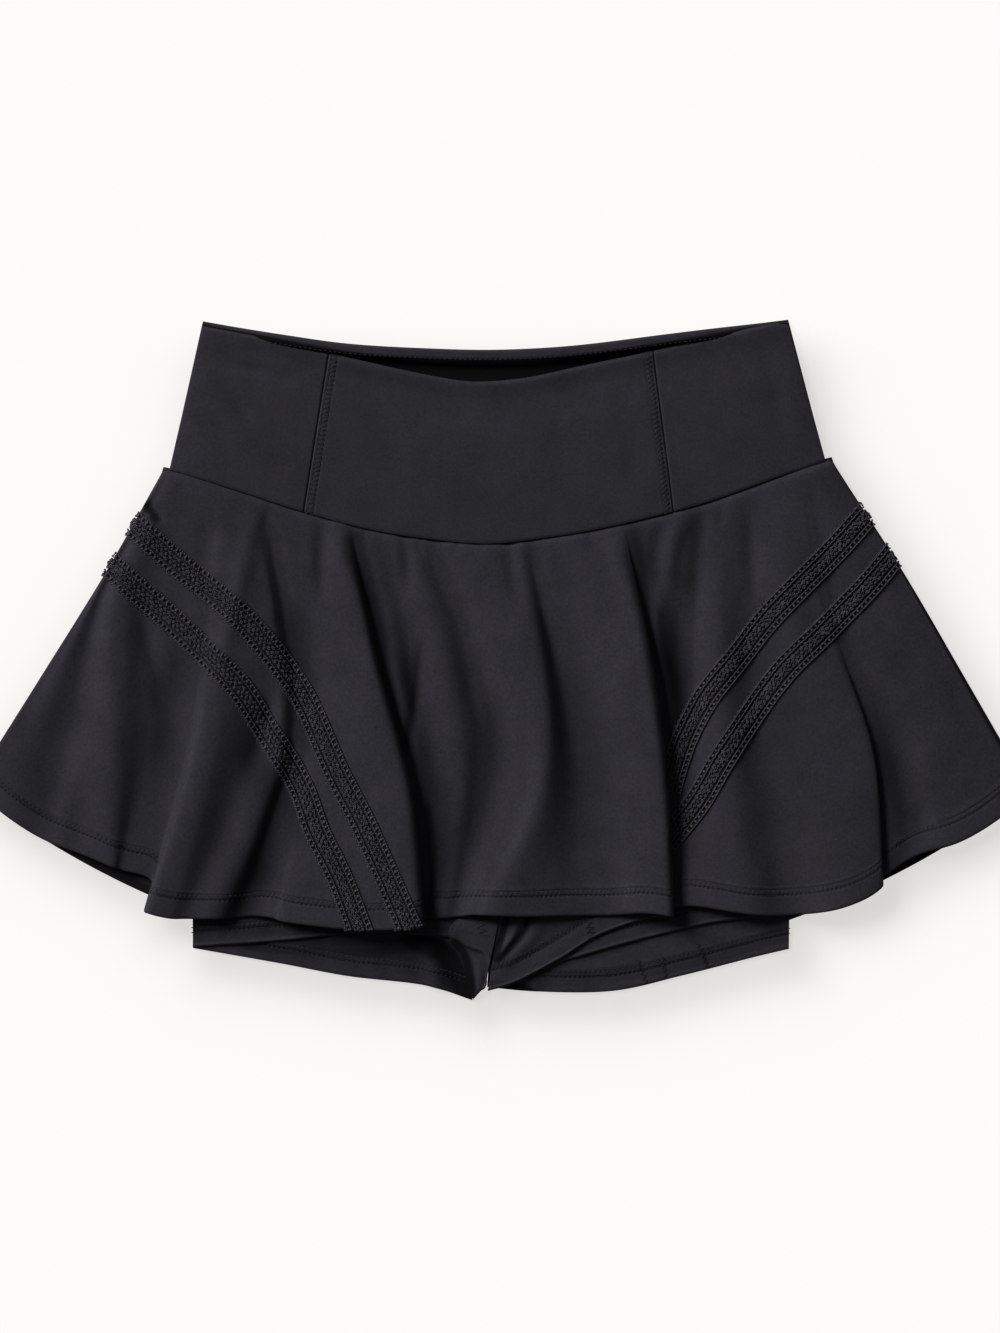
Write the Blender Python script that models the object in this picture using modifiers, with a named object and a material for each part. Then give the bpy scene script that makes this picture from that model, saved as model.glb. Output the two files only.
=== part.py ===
"""Tennis skort laid flat, front up: a flared skirt over fitted shorts on one high waistband.

Sizes in the tables are millimetres. X runs across the garment to the wearer's left, Y up to the
waist and Z up from the surface it lies on. The layers from that surface up are the back of the
skirt and waistband, the back of the shorts, the front of the shorts, and the front of the skirt
and waistband with its lace. Every piece that is cut and sewn on is its own wall of cloth.
"""

import itertools
import math

import bmesh
import bpy
from mathutils import Vector
from mathutils.bvhtree import BVHTree

MM = 0.001
SEAM_GAP = 0.3

SKIRT_WALL = 1.2
SHORTS_WALL = 1.0
BAND_WALL = 1.8
TRIM_WALL = 1.3
TRIM_WIDTH = 14.4

SKIRT_SIDE_Z = SKIRT_WALL + SEAM_GAP + SKIRT_WALL
SKIRT_WAIST_Z = 6.0
SKIRT_WAIST_ROLL = 20.0
BAND_SIDE_Z = BAND_WALL + SEAM_GAP + BAND_WALL
BAND_MID_Z = 6.4
BAND_ROLL = 45.0
BACK_HEM_Y = -186.0
BACK_HEM_RADIUS = 520.0
SHORTS_BASE_Z = SKIRT_WALL + SEAM_GAP
PLY_STEP = SHORTS_WALL + SEAM_GAP
PLY_DROP_START = 2.0
PLY_DROP_LENGTH = 10.0
PLY_DROP_MARGIN = 12.0
PLY_LYING_MARGIN = 4.0

SKIRT_ROWS = 14
SKIRT_STEPS = 2
SKIRT_BACK_ROWS = 5
SEAM_STEPS = 8
FLAT_STEPS = 2
TRIM_STATION = 4.5
TRIM_CLEARANCE = 0.4
TRIM_SCAN = 0.5
TRIM_END_SCANS = 2
PATH_SAMPLES = 40
PROBE_HEIGHT = 0.1
FOLD_JUMP = 1.2
LIFT_ROUNDS = 8
LIFT_SAMPLES = 4
LIFT_GAIN = 2.0

KNIT = (0.020, 0.020, 0.024)
KNIT_INSIDE = (0.024, 0.024, 0.028)
LACE = (0.012, 0.012, 0.014)
CLOTH_ROUGHNESS = 0.85

# Curves across the garment, as points of x and y.
WAIST_SEAM = [
    (-203, 115), (-190, 112), (-157, 101.5), (-118, 89), (-76, 78), (-36, 72), (-6, 70),
    (30, 74), (60, 79), (101, 88.5), (129, 96.5), (165, 109.5), (196, 120), (200, 121),
]
FRONT_TOP = [
    (-179, 201), (-143, 194), (-102, 184.5), (-63, 175.5), (-30, 169), (-12, 167.5),
    (16, 170), (44, 176), (87, 185), (129, 194.5), (163, 202.5), (173, 202),
]
BACK_TOP = [
    (-179, 204), (-130, 195.5), (-90, 190), (-36, 187), (0, 186.5), (44, 189), (101, 196),
    (173, 205),
]

# The front of the skirt, one row for each line that runs from the waist seam down to the hem
# along a fold. Columns: name; x at the waist, a third down, two thirds down and at the hem; y at
# the hem; height of the outer face a third down, two thirds down and at the hem. Where a fold
# laps over its neighbour its lines turn back: under is the crease below it, edge and brow its
# rounded lip.
SKIRT_FOLDS = [
    ("side_right", -202.5, -238.5, -278.0, -318.0, -76.0, 2.7, 2.7, 2.7),
    ("roll_right", -200.7, -240.0, -271.5, -297.5, -93.0, 4.0, 5.4, 6.0),
    ("hollow_right", -198.8, -238.5, -256.0, -273.0, -109.2, 3.8, 3.2, 4.0),
    ("ridge_right", -194.0, -229.0, -231.0, -235.5, -124.0, 8.0, 10.8, 9.4),
    ("hollow_a", -184.0, -208.5, -211.5, -227.0, -126.4, 5.4, 5.2, 6.8),
    ("a_under", -172.5, -178.0, -190.5, -209.0, -134.0, 7.8, 7.2, 6.8),
    ("a_edge", -169.5, -174.5, -188.5, -213.5, -149.5, 9.0, 9.6, 10.2),
    ("a_brow", -166.5, -170.5, -185.0, -210.5, -151.5, 10.4, 12.6, 13.2),
    ("a_top", -160.5, -160.0, -175.0, -199.0, -154.3, 11.4, 13.4, 12.8),
    ("hollow_d", -151.5, -138.0, -154.0, -187.0, -154.8, 9.8, 7.2, 10.0),
    ("ridge_s", -146.5, -132.0, -136.0, -169.0, -155.0, 8.4, 9.2, 10.2),
    ("hollow_v", -139.5, -125.0, -128.0, -156.5, -155.0, 5.4, 5.4, 5.4),
    ("b_edge", -132.0, -118.0, -121.0, -137.0, -155.0, 6.0, 6.2, 8.0),
    ("b_brow", -126.5, -111.5, -114.0, -131.0, -156.5, 7.2, 7.4, 10.2),
    ("b_top", -113.0, -98.0, -91.5, -90.5, -161.0, 10.6, 10.8, 13.2),
    ("e_top", -95.5, -82.0, -63.5, -57.5, -161.0, 13.6, 16.0, 16.5),
    ("e_brow", -93.0, -76.5, -56.0, -49.0, -161.0, 13.6, 16.2, 16.8),
    ("e_edge", -91.0, -73.5, -52.5, -45.5, -160.5, 10.5, 12.5, 13.5),
    ("e_under", -89.0, -75.0, -56.5, -51.5, -158.5, 7.5, 8.5, 8.5),
    ("e_floor", -86.5, -70.0, -52.0, -48.0, -157.0, 5.5, 5.6, 5.8),
    ("tongue", -80.5, -62.0, -46.0, -42.5, -156.5, 8.2, 5.6, 5.6),
    ("slot_mid", -71.0, -51.5, -39.0, -37.5, -155.5, 5.6, 5.5, 5.7),
    ("swell_mid", -58.5, -33.0, -23.5, -33.0, -155.0, 9.8, 7.4, 6.2),
    ("dip_mid", -42.0, -13.5, -10.5, -26.5, -154.0, 5.8, 5.4, 6.0),
    ("plateau_mid", -26.0, 1.0, 12.0, -16.5, -152.4, 11.0, 10.0, 10.2),
    ("ridge_mid", 3.0, 23.0, 25.5, -1.0, -152.3, 12.8, 14.6, 13.2),
    ("valley_mid", 23.0, 37.0, 49.5, 62.0, -153.0, 5.6, 5.8, 7.4),
    ("ridge_left", 50.5, 62.5, 77.0, 84.0, -151.4, 12.0, 12.8, 12.6),
    ("g_top", 67.0, 80.0, 90.5, 95.0, -152.0, 15.0, 16.4, 15.2),
    ("g_brow", 70.0, 86.5, 97.0, 101.0, -153.0, 15.6, 16.8, 15.8),
    ("g_edge", 73.0, 90.5, 100.5, 104.0, -153.0, 12.0, 13.0, 12.5),
    ("g_under", 75.5, 87.5, 96.5, 99.5, -150.5, 7.5, 8.5, 9.0),
    ("g_floor", 78.5, 92.0, 101.5, 103.0, -148.0, 5.5, 5.5, 7.0),
    ("swell_g", 85.5, 97.5, 108.0, 110.0, -147.5, 6.8, 5.5, 7.4),
    ("dip_g", 108.0, 113.5, 116.0, 118.0, -147.5, 5.4, 6.4, 9.0),
    ("ridge_h", 129.0, 131.0, 138.5, 151.0, -152.3, 10.6, 11.0, 12.0),
    ("dip_h", 147.0, 151.0, 161.0, 175.0, -152.8, 6.8, 6.0, 6.2),
    ("ridge_c", 164.5, 176.0, 194.0, 202.5, -148.8, 11.0, 12.2, 12.8),
    ("c_brow", 178.0, 192.0, 219.5, 226.0, -140.0, 9.4, 11.4, 11.6),
    ("c_edge", 179.8, 194.5, 223.0, 229.5, -137.0, 8.4, 9.2, 9.2),
    ("c_under", 181.6, 197.5, 221.5, 224.5, -134.0, 7.4, 6.6, 6.4),
    ("c_floor", 183.8, 203.0, 231.5, 238.5, -129.5, 6.2, 4.0, 3.8),
    ("swell_left", 188.5, 217.0, 252.0, 261.0, -118.6, 7.0, 6.2, 5.8),
    ("roll_left", 194.0, 229.0, 267.5, 291.0, -101.0, 6.0, 5.8, 5.6),
    ("side_left", 199.0, 241.5, 280.0, 318.0, -82.0, 2.7, 2.7, 2.7),
]

# The back of the skirt lies flat. Columns: name; x at the waist, a third down, two thirds down
# and at the hem. The side lines end at the corners of the front's hem.
SKIRT_BACK = [
    ("side_right", -202.5, -238.5, -278.0, -318.0),
    ("quarter_right", -150.0, -172.0, -198.0, -222.0),
    ("middle_right", -75.0, -86.0, -97.0, -108.0),
    ("middle", 0.0, 0.0, 0.0, 0.0),
    ("middle_left", 75.0, 86.0, 97.0, 108.0),
    ("quarter_left", 150.0, 172.0, 198.0, 222.0),
    ("side_left", 199.0, 241.5, 280.0, 318.0),
]

# The waistband. Columns: name; x at the top edge and at the waist seam.
BAND_FRONT_RIGHT = [("side", -179.0, -199.0), ("middle", -146.0, -161.0), ("seam", -103.2, -118.2)]
BAND_FRONT_CENTER = [
    ("seam_right", -102.9, -117.9), ("quarter_right", -55.0, -62.0), ("middle", -6.0, -6.0),
    ("quarter_left", 42.0, 49.0), ("seam_left", 91.5, 103.8),
]
BAND_FRONT_LEFT = [("seam", 91.8, 104.1), ("middle", 132.0, 150.0), ("side", 173.0, 195.3)]
BAND_BACK = [
    ("side_right", -179.0, -199.0), ("quarter_right", -120.0, -132.0), ("right", -60.0, -66.0),
    ("middle", 0.0, 0.0), ("left", 60.0, 66.0), ("quarter_left", 120.0, 132.0),
    ("side_left", 173.0, 195.3),
]
# How far the face of the front waistband lies under its full height, from its top edge down:
# a soft trough follows the elastic edge.
BAND_DIP = [0.5, 1.1, 0.2, 0.0, 0.0, 0.1, 0.3]

# The shorts. Columns: name; x and y at the top; x and y at the crease of the leg; x and y at
# the hem.
SHORTS_BACK_RIGHT = [
    ("side", -180.0, 107.0, -184.5, -60.0, -185.0, -173.0),
    ("outer", -120.0, 88.0, -128.0, -60.0, -131.0, -182.5),
    ("inner", -76.0, 76.0, -84.0, -60.0, -91.0, -190.0),
    ("thigh", -40.0, 71.0, -42.0, -60.0, -45.0, -195.5),
    ("crotch", -0.2, 68.5, -0.2, -60.0, -17.0, -204.3),
]
SHORTS_BACK_LEFT = [
    ("crotch", 0.2, 68.5, 0.2, -60.0, -8.0, -196.5),
    ("thigh", 24.0, 71.5, 22.0, -60.0, 19.5, -199.0),
    ("inner", 60.0, 77.5, 62.0, -60.0, 65.5, -199.0),
    ("outer", 112.0, 90.5, 110.0, -60.0, 109.5, -189.5),
    ("side_seam", 146.0, 101.5, 150.0, -60.0, 152.5, -178.5),
    ("side", 176.0, 112.5, 174.0, -60.0, 173.5, -173.5),
]
SHORTS_FRONT_RIGHT = [
    ("side", -180.0, 107.0, -184.5, -60.0, -185.0, -172.5),
    ("outer", -120.0, 88.0, -128.0, -60.0, -131.0, -168.5),
    ("inner", -76.0, 76.0, -76.0, -60.0, -75.5, -163.0),
    ("thigh", -40.0, 71.0, -45.0, -60.0, -48.0, -165.0),
    ("crotch", -0.2, 68.5, -0.2, -100.0, -29.5, -166.5),
]
SHORTS_FRONT_LEFT = [
    ("crotch", 0.2, 68.5, 0.2, -60.0, 33.5, -182.0),
    ("inner", 40.0, 74.0, 45.0, -60.0, 80.0, -169.0),
    ("thigh", 80.0, 82.0, 90.0, -60.0, 123.5, -158.5),
    ("outer", 130.0, 96.0, 135.0, -60.0, 149.5, -154.5),
    ("side", 176.0, 112.5, 174.0, -60.0, 173.5, -147.0),
]
SHORTS_FRONT_LEFT_FOLD = [
    ("crotch", 1.0, -118.0, -0.5, -154.0, -7.5, -198.5),
    ("inner", 14.0, -117.0, 12.0, -150.0, 7.5, -194.0),
    ("thigh", 34.0, -116.0, 35.0, -146.0, 36.5, -179.0),
    ("bar", 55.0, -117.0, 56.0, -140.0, 56.5, -166.5),
    ("leg", 76.0, -119.0, 79.0, -138.0, 80.0, -157.5),
    ("edge", 90.0, -121.0, 98.0, -137.0, 103.0, -152.0),
]
SHORTS_GUSSET = [
    ("outer", -4.8, -112.0, -27.2, -163.5, -16.3, -203.8),
    ("middle", -3.0, -112.0, -14.5, -161.0, -13.5, -200.5),
    ("inner", -1.2, -112.0, -1.6, -159.0, -9.5, -196.3),
]

# The lace, as points of x and y along the middle of each strip, from the side of the skirt down.
LACE_UPPER_RIGHT = [
    (-226, 87), (-195.5, 59.5), (-171.5, 40.5), (-151, 21.5), (-131.5, -2), (-116, -26),
    (-98.5, -65.5), (-81.5, -98.5), (-64, -137.5), (-50, -170),
]
LACE_LOWER_RIGHT = [
    (-242, 65), (-218, 42.5), (-199.5, 26.5), (-178.5, 6.5), (-156.5, -16), (-139.5, -43),
    (-120.5, -74), (-109.5, -103), (-95.5, -131.5), (-80, -172),
]
LACE_UPPER_LEFT = [
    (224, 92), (201.5, 67), (180.5, 46), (160.5, 25), (143.5, 3.5), (125, -20), (112.5, -43),
    (106, -60), (100.5, -79),
]
LACE_LOWER_LEFT = [
    (242, 70), (219.5, 43.5), (194, 17.5), (172.5, -3.5), (153.5, -28.5), (133.5, -58.5),
    (118, -85.5), (96, -113),
]


def smooth(values, t, gaps=None):
    """Value at t on the Catmull-Rom curve through values numbered 0, 1, 2 and so on.

    gaps are the distances between the values, where they are uneven.
    """
    last = len(values) - 1
    gaps = gaps or [1.0] * last
    i = min(int(t), last - 1)
    s = t - i
    run = (values[i + 1] - values[i]) / gaps[i]
    lean = []
    for far in (i - 1, i + 1):
        if 0 <= far < last:
            run_far = (values[far + 1] - values[far]) / gaps[far]
            lean.append((run_far * gaps[i] + run * gaps[far]) / (gaps[i] + gaps[far]) * gaps[i])
        else:
            lean.append(run * gaps[i])
    leave, arrive = lean
    start, end = values[i], values[i + 1]
    cubic = 2 * start - 2 * end + leave + arrive
    square = 3 * end - 3 * start - 2 * leave - arrive
    return ((cubic * s + square) * s + leave) * s + start


def slope(curve, i):
    """Slope of a curve of x and y points at point i."""
    low = curve[max(i - 1, 0)]
    high = curve[min(i + 1, len(curve) - 1)]
    return (high[1] - low[1]) / (high[0] - low[0])


def y_on(curve, x):
    """Height of a curve of x and y points at x, held level past its ends."""
    x = min(max(x, curve[0][0]), curve[-1][0])
    i = 0
    while i < len(curve) - 2 and x > curve[i + 1][0]:
        i += 1
    width = curve[i + 1][0] - curve[i][0]
    s = (x - curve[i][0]) / width
    rise_start = (2 * s**3 - 3 * s**2 + 1) * curve[i][1]
    rise_end = (3 * s**2 - 2 * s**3) * curve[i + 1][1]
    lean_start = (s**3 - 2 * s**2 + s) * width * slope(curve, i)
    lean_end = (s**3 - s**2) * width * slope(curve, i + 1)
    return rise_start + rise_end + lean_start + lean_end


def ease(share):
    """A quarter of an ellipse from 0 to 1."""
    share = min(max(share, 0.0), 1.0)
    return math.sqrt(1 - (1 - share) ** 2)


def back_hem_y(x):
    """Hem of the flat back of the skirt, an arc."""
    return BACK_HEM_Y + BACK_HEM_RADIUS - math.sqrt(BACK_HEM_RADIUS**2 - x**2)


def skirt_waist_z(x):
    """Outer face of the skirt front along the waist seam."""
    inset = x - SKIRT_FOLDS[0][1] if x < 0 else SKIRT_FOLDS[-1][1] - x
    return SKIRT_SIDE_Z + (SKIRT_WAIST_Z - SKIRT_SIDE_Z) * ease(inset / SKIRT_WAIST_ROLL)


def ply_z(x, y, ply):
    """Upper face of a ply of the shorts, which steps down where the skirt back ends under it."""
    past_hem = (back_hem_y(x) - PLY_DROP_START * (1 + ply) - y) / PLY_DROP_LENGTH
    base = SHORTS_BASE_Z * (1 - min(max(past_hem, 0.0), 1.0))
    return base + ply * PLY_STEP + SHORTS_WALL


def fill_between(table, steps):
    """Rows of a table, without their names, and smoothly placed rows between them."""
    columns = list(zip(*[row[1:] for row in table]))
    gaps = []
    for row, following in zip(table, table[1:]):
        moves = [abs(there - here) for here, there in zip(row[1:], following[1:])]
        gaps.append(math.sqrt(sum(moves) / len(moves)))
    count = (len(table) - 1) * steps + 1
    return [[smooth(column, i / steps, gaps) for column in columns] for i in range(count)]


def material(name, colour):
    cloth = bpy.data.materials.new(name)
    cloth.use_nodes = True
    shader = cloth.node_tree.nodes["Principled BSDF"]
    shader.inputs["Base Color"].default_value = (*colour, 1.0)
    shader.inputs["Roughness"].default_value = CLOTH_ROUGHNESS
    shader.inputs["Metallic"].default_value = 0.0
    return cloth


def cloth_wall(collection, name, columns, wall, colour, side=-1):
    """A wall of cloth on the columns of points, below them where side is -1 and above where 1."""
    rows = len(columns[0])
    sheet = bmesh.new()
    points = [[sheet.verts.new(point * MM) for point in column] for column in columns]
    for c in range(len(columns) - 1):
        for r in range(rows - 1):
            sheet.faces.new((points[c][r], points[c][r + 1], points[c + 1][r + 1], points[c + 1][r]))
    mesh = bpy.data.meshes.new(name)
    sheet.to_mesh(mesh)
    sheet.free()
    mesh.shade_smooth()
    mesh.materials.append(material(name, colour))
    panel = bpy.data.objects.new(name, mesh)
    collection.objects.link(panel)
    thickness = panel.modifiers.new("wall", "SOLIDIFY")
    thickness.thickness = wall * MM
    thickness.offset = side
    return panel


def skirt_front(collection):
    columns = []
    for row in fill_between(SKIRT_FOLDS, SKIRT_STEPS):
        waist, upper, lower, hem, hem_y, upper_z, lower_z, hem_z = row
        top_y = y_on(WAIST_SEAM, waist) - SEAM_GAP / 2
        heights = (skirt_waist_z(waist), upper_z, lower_z, hem_z)
        column = []
        for r in range(SKIRT_ROWS + 1):
            down = r / SKIRT_ROWS
            x = smooth((waist, upper, lower, hem), 3 * down)
            y = top_y + (hem_y - top_y) * down
            column.append(Vector((x, y, smooth(heights, 3 * down))))
        columns.append(column)
    return cloth_wall(collection, "skirt_front", columns, SKIRT_WALL, KNIT)


def skirt_back(collection):
    columns = []
    for waist, upper, lower, hem in fill_between(SKIRT_BACK, SEAM_STEPS):
        top_y = y_on(WAIST_SEAM, waist) - SEAM_GAP / 2
        column = []
        for r in range(SKIRT_BACK_ROWS + 1):
            down = r / SKIRT_BACK_ROWS
            x = smooth((waist, upper, lower, hem), 3 * down)
            column.append(Vector((x, top_y + (back_hem_y(hem) - top_y) * down, SKIRT_WALL)))
        columns.append(column)
    cloth_wall(collection, "skirt_back", columns, SKIRT_WALL, KNIT_INSIDE)


def waistband_back(collection):
    columns = []
    for top_x, seam_x in fill_between(BAND_BACK, SEAM_STEPS):
        top = Vector((top_x, y_on(BACK_TOP, top_x), BAND_WALL))
        seam = Vector((seam_x, y_on(WAIST_SEAM, seam_x) + SEAM_GAP / 2, BAND_WALL))
        columns.append([top, top.lerp(seam, 0.5), seam])
    cloth_wall(collection, "waistband_back", columns, BAND_WALL, KNIT_INSIDE)


def waistband_front(collection, name, table):
    """A piece of the front waistband, raised from its sides, with a soft trough at its top."""
    right, left = (BAND_BACK[0], BAND_BACK[-1])
    columns = []
    for top_x, seam_x in fill_between(table, SEAM_STEPS):
        top_y = y_on(FRONT_TOP, top_x)
        seam_y = y_on(WAIST_SEAM, seam_x) + SEAM_GAP / 2
        column = []
        for r, dip in enumerate(BAND_DIP):
            down = r / (len(BAND_DIP) - 1)
            x = top_x + (seam_x - top_x) * down
            edge = right if x < 0 else left
            inset = abs(edge[1] + (edge[2] - edge[1]) * down - x)
            z = BAND_SIDE_Z + (BAND_MID_Z - BAND_SIDE_Z - dip) * ease(inset / BAND_ROLL)
            column.append(Vector((x, top_y + (seam_y - top_y) * down, z)))
        columns.append(column)
    cloth_wall(collection, name, columns, BAND_WALL, KNIT)


def leg_line(top, crease, hem, ply):
    """Points down one line of the shorts, with rows where it steps down off the skirt back."""
    ends_at = back_hem_y(hem.x) - PLY_DROP_START * (1 + ply)
    steps_off = max(ends_at, hem.y + PLY_DROP_MARGIN)
    lies_down = max(ends_at - PLY_DROP_LENGTH, hem.y + PLY_LYING_MARGIN)
    line = [top, top.lerp(crease, 0.5), crease]
    for y in ((crease.y + steps_off) / 2, steps_off, lies_down, hem.y):
        line.append(crease.lerp(hem, (y - crease.y) / (hem.y - crease.y)))
    return line


def shorts_piece(collection, name, table, ply, colour):
    """One ply of the shorts: 0 lies on the skirt back, 1 and 2 on the ply below."""
    columns = []
    for top_x, top_y, crease_x, crease_y, hem_x, hem_y in fill_between(table, FLAT_STEPS):
        top = Vector((top_x, top_y, 0.0))
        crease = Vector((crease_x, crease_y, 0.0))
        column = leg_line(top, crease, Vector((hem_x, hem_y, 0.0)), ply)
        for point in column:
            point.z = ply_z(point.x, point.y, ply)
        columns.append(column)
    cloth_wall(collection, name, columns, SHORTS_WALL, colour)


def path_points(path, offset, spacing):
    """Points every spacing along a smooth path moved sideways by offset, down its length."""
    knots = [Vector(point) for point in path]
    count = (len(knots) - 1) * PATH_SAMPLES + 1
    fine = [smooth(knots, t / PATH_SAMPLES) for t in range(count)]
    points = []
    travelled = 0.0
    for here, there in zip(fine, fine[1:]):
        step = there - here
        if travelled <= 0.0:
            side = Vector((-step.y, step.x)).normalized()
            points.append(here + side * offset)
            travelled += spacing
        travelled -= step.length
    return points


def height_over(panel, x, y):
    """Height of a panel's outer face at x and y, or None beside it."""
    hit = panel.ray_cast(Vector((x * MM, y * MM, PROBE_HEIGHT)), Vector((0, 0, -1)))[0]
    return None if hit is None else hit.z / MM


def lace_run(panel, path, offset, ends_under_fold):
    """Points on the panel along a path, from the side edge to the hem or to a lapping fold."""
    run = []
    for point in path_points(path, offset, TRIM_SCAN):
        z = height_over(panel, point.x, point.y)
        if z is None:
            if run:
                break
            continue
        if ends_under_fold and run and point.y < 0 and z - run[-1].z > FOLD_JUMP:
            break
        run.append(Vector((point.x, point.y, z)))
    return run[TRIM_END_SCANS:-TRIM_END_SCANS]


def lift_clear(panel, columns):
    """Raises the points until the facets between them clear the panel too."""
    shares = [i / LIFT_SAMPLES for i in range(LIFT_SAMPLES + 1)]
    for _ in range(LIFT_ROUNDS):
        lifts = {}
        for c in range(len(columns) - 1):
            for r in range(len(columns[0]) - 1):
                for u, v in itertools.product(shares, shares):
                    corners = {
                        (c, r): (1 - u) * (1 - v), (c + 1, r): u * (1 - v),
                        (c + 1, r + 1): u * v, (c, r + 1): (1 - u) * v,
                    }
                    spot = sum((columns[i][j] * share for (i, j), share in corners.items()), Vector())
                    z = height_over(panel, spot.x, spot.y)
                    if z is None or spot.z >= z + TRIM_CLEARANCE:
                        continue
                    for corner, share in corners.items():
                        lift = (z + TRIM_CLEARANCE - spot.z) * min(1.0, LIFT_GAIN * share)
                        lifts[corner] = max(lifts.get(corner, 0.0), lift)
        for (i, j), lift in lifts.items():
            columns[i][j].z += lift


def lace_strip(collection, name, path, panel, ends_under_fold):
    """A strip of lace that lies on the skirt front."""
    half = TRIM_WIDTH / 2
    offsets = (half, half / 3, -half / 3, -half)
    runs = [lace_run(panel, path, offset, ends_under_fold) for offset in offsets]
    stations = round(len(runs[1]) * TRIM_SCAN / TRIM_STATION)
    columns = []
    for s in range(stations + 1):
        column = []
        for run in runs:
            along = s / stations * (len(run) - 1)
            i = min(int(along), len(run) - 2)
            column.append(run[i].lerp(run[i + 1], along - i) + Vector((0, 0, TRIM_CLEARANCE)))
        columns.append(column)
    lift_clear(panel, columns)
    cloth_wall(collection, name, columns, TRIM_WALL, LACE, side=1)


def main():
    for leftover in list(bpy.data.objects):
        bpy.data.objects.remove(leftover, do_unlink=True)
    skort = bpy.data.collections.new("tennis_skort")
    bpy.context.scene.collection.children.link(skort)

    skirt_back(skort)
    front = skirt_front(skort)
    waistband_back(skort)
    waistband_front(skort, "waistband_front_right", BAND_FRONT_RIGHT)
    waistband_front(skort, "waistband_front_center", BAND_FRONT_CENTER)
    waistband_front(skort, "waistband_front_left", BAND_FRONT_LEFT)
    shorts_piece(skort, "shorts_back_right", SHORTS_BACK_RIGHT, 0, KNIT_INSIDE)
    shorts_piece(skort, "shorts_back_left", SHORTS_BACK_LEFT, 0, KNIT_INSIDE)
    shorts_piece(skort, "shorts_front_right", SHORTS_FRONT_RIGHT, 1, KNIT)
    shorts_piece(skort, "shorts_front_left", SHORTS_FRONT_LEFT, 1, KNIT)
    shorts_piece(skort, "shorts_gusset", SHORTS_GUSSET, 1, KNIT)
    shorts_piece(skort, "shorts_front_left_fold", SHORTS_FRONT_LEFT_FOLD, 2, KNIT)

    bpy.context.view_layer.update()
    depsgraph = bpy.context.evaluated_depsgraph_get()
    panel = BVHTree.FromObject(front, depsgraph)
    lace_strip(skort, "trim_upper_right", LACE_UPPER_RIGHT, panel, False)
    lace_strip(skort, "trim_lower_right", LACE_LOWER_RIGHT, panel, False)
    lace_strip(skort, "trim_upper_left", LACE_UPPER_LEFT, panel, True)
    lace_strip(skort, "trim_lower_left", LACE_LOWER_LEFT, panel, True)


main()
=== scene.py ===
"""Looks of a tennis skort laid flat, front up: knit cloth, crochet lace and stitching.

Sizes and places are millimetres, but for the camera's. X runs to the wearer's left, Y up to the
waist and Z up from the surface. Cloth pieces are fine grids through the same fold lines as the
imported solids.
"""

import math

import bpy
import numpy as np
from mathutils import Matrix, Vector, kdtree, noise
from mathutils.bvhtree import BVHTree


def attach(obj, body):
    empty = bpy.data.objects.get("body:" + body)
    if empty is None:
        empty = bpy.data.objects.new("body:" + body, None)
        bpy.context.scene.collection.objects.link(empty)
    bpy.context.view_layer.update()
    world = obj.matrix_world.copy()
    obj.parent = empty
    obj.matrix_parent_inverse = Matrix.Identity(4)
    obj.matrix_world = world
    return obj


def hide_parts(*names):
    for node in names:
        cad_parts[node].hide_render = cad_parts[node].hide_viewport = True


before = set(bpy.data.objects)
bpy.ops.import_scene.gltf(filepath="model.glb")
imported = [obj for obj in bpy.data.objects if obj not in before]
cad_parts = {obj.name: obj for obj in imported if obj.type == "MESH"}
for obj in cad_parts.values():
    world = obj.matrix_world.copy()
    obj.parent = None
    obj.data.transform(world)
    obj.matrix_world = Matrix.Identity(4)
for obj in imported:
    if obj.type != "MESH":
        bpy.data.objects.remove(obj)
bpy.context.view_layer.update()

MM = 0.001

# Walls of the three kinds of cloth, and the gap at every seam.
SEAM_GAP = 0.3
SKIRT_WALL = 1.2
SHORTS_WALL = 1.0
BAND_WALL = 1.8

# How high the faces of skirt and band lie at their sides and in the middle, the circle of the
# back's hem, and how high the plies of the shorts lie, which drop past that hem.
SKIRT_SIDE_Z = 2 * SKIRT_WALL + SEAM_GAP
SKIRT_WAIST_Z = 6.0
SKIRT_WAIST_ROLL = 20.0
BAND_SIDE_Z = 2 * BAND_WALL + SEAM_GAP
BAND_MID_Z = 6.4
BAND_ROLL = 45.0
BACK_HEM_Y = -186.0
BACK_HEM_RADIUS = 520.0
SHORTS_BASE_Z = SKIRT_WALL + SEAM_GAP
PLY_STEP = SHORTS_WALL + SEAM_GAP
PLY_DROP_START = 2.0
PLY_DROP_LENGTH = 10.0

# How fine the grids are. Rows come in runs down a piece, each with the share of the way down where
# it ends and its number of rows. On the shorts 1 is at the crease of the leg and 2 at the hem.
SKIRT_COLUMNS = 320
SKIRT_ROWS = [(0.014, 7), (0.925, 97), (1, 40)]
SKIRT_BACK_COLUMNS = 120
SKIRT_BACK_ROWS = 76
SHORTS_ROWS = [(1, 12), (1.75, 28), (2, 58)]
BAND_ROWS = 72

# How many short lines each step of a path is split into, how many points a row of seam loops has,
# and where rays that find the cloth start.
PATH_STEPS = 8
SEAM_POINTS = 12
ABOVE_ALL = 40
DOWN = Vector((0, 0, -1))

# How far points crowd towards the edges of a piece.
EDGE_CROWD = 0.85
SHORTS_CROWD = 0.7

# The skirt front stays this high over the flat back, the shorts, and the stretch that is folded
# back on them, and rises between the two places given for each side of those.
LOWEST_OUTSIDE = 2.1
LOWEST_OVER_SHORTS = 5.1
LOWEST_OVER_FOLD = 6.4
LOWEST_ROUNDING = 0.25
SHORTS_SIDES = ((-196, -188), (186, 178))
FOLD_SIDES = ((-16, -8), (112, 104))
FOLD_TOP = (-110, -118)

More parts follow.
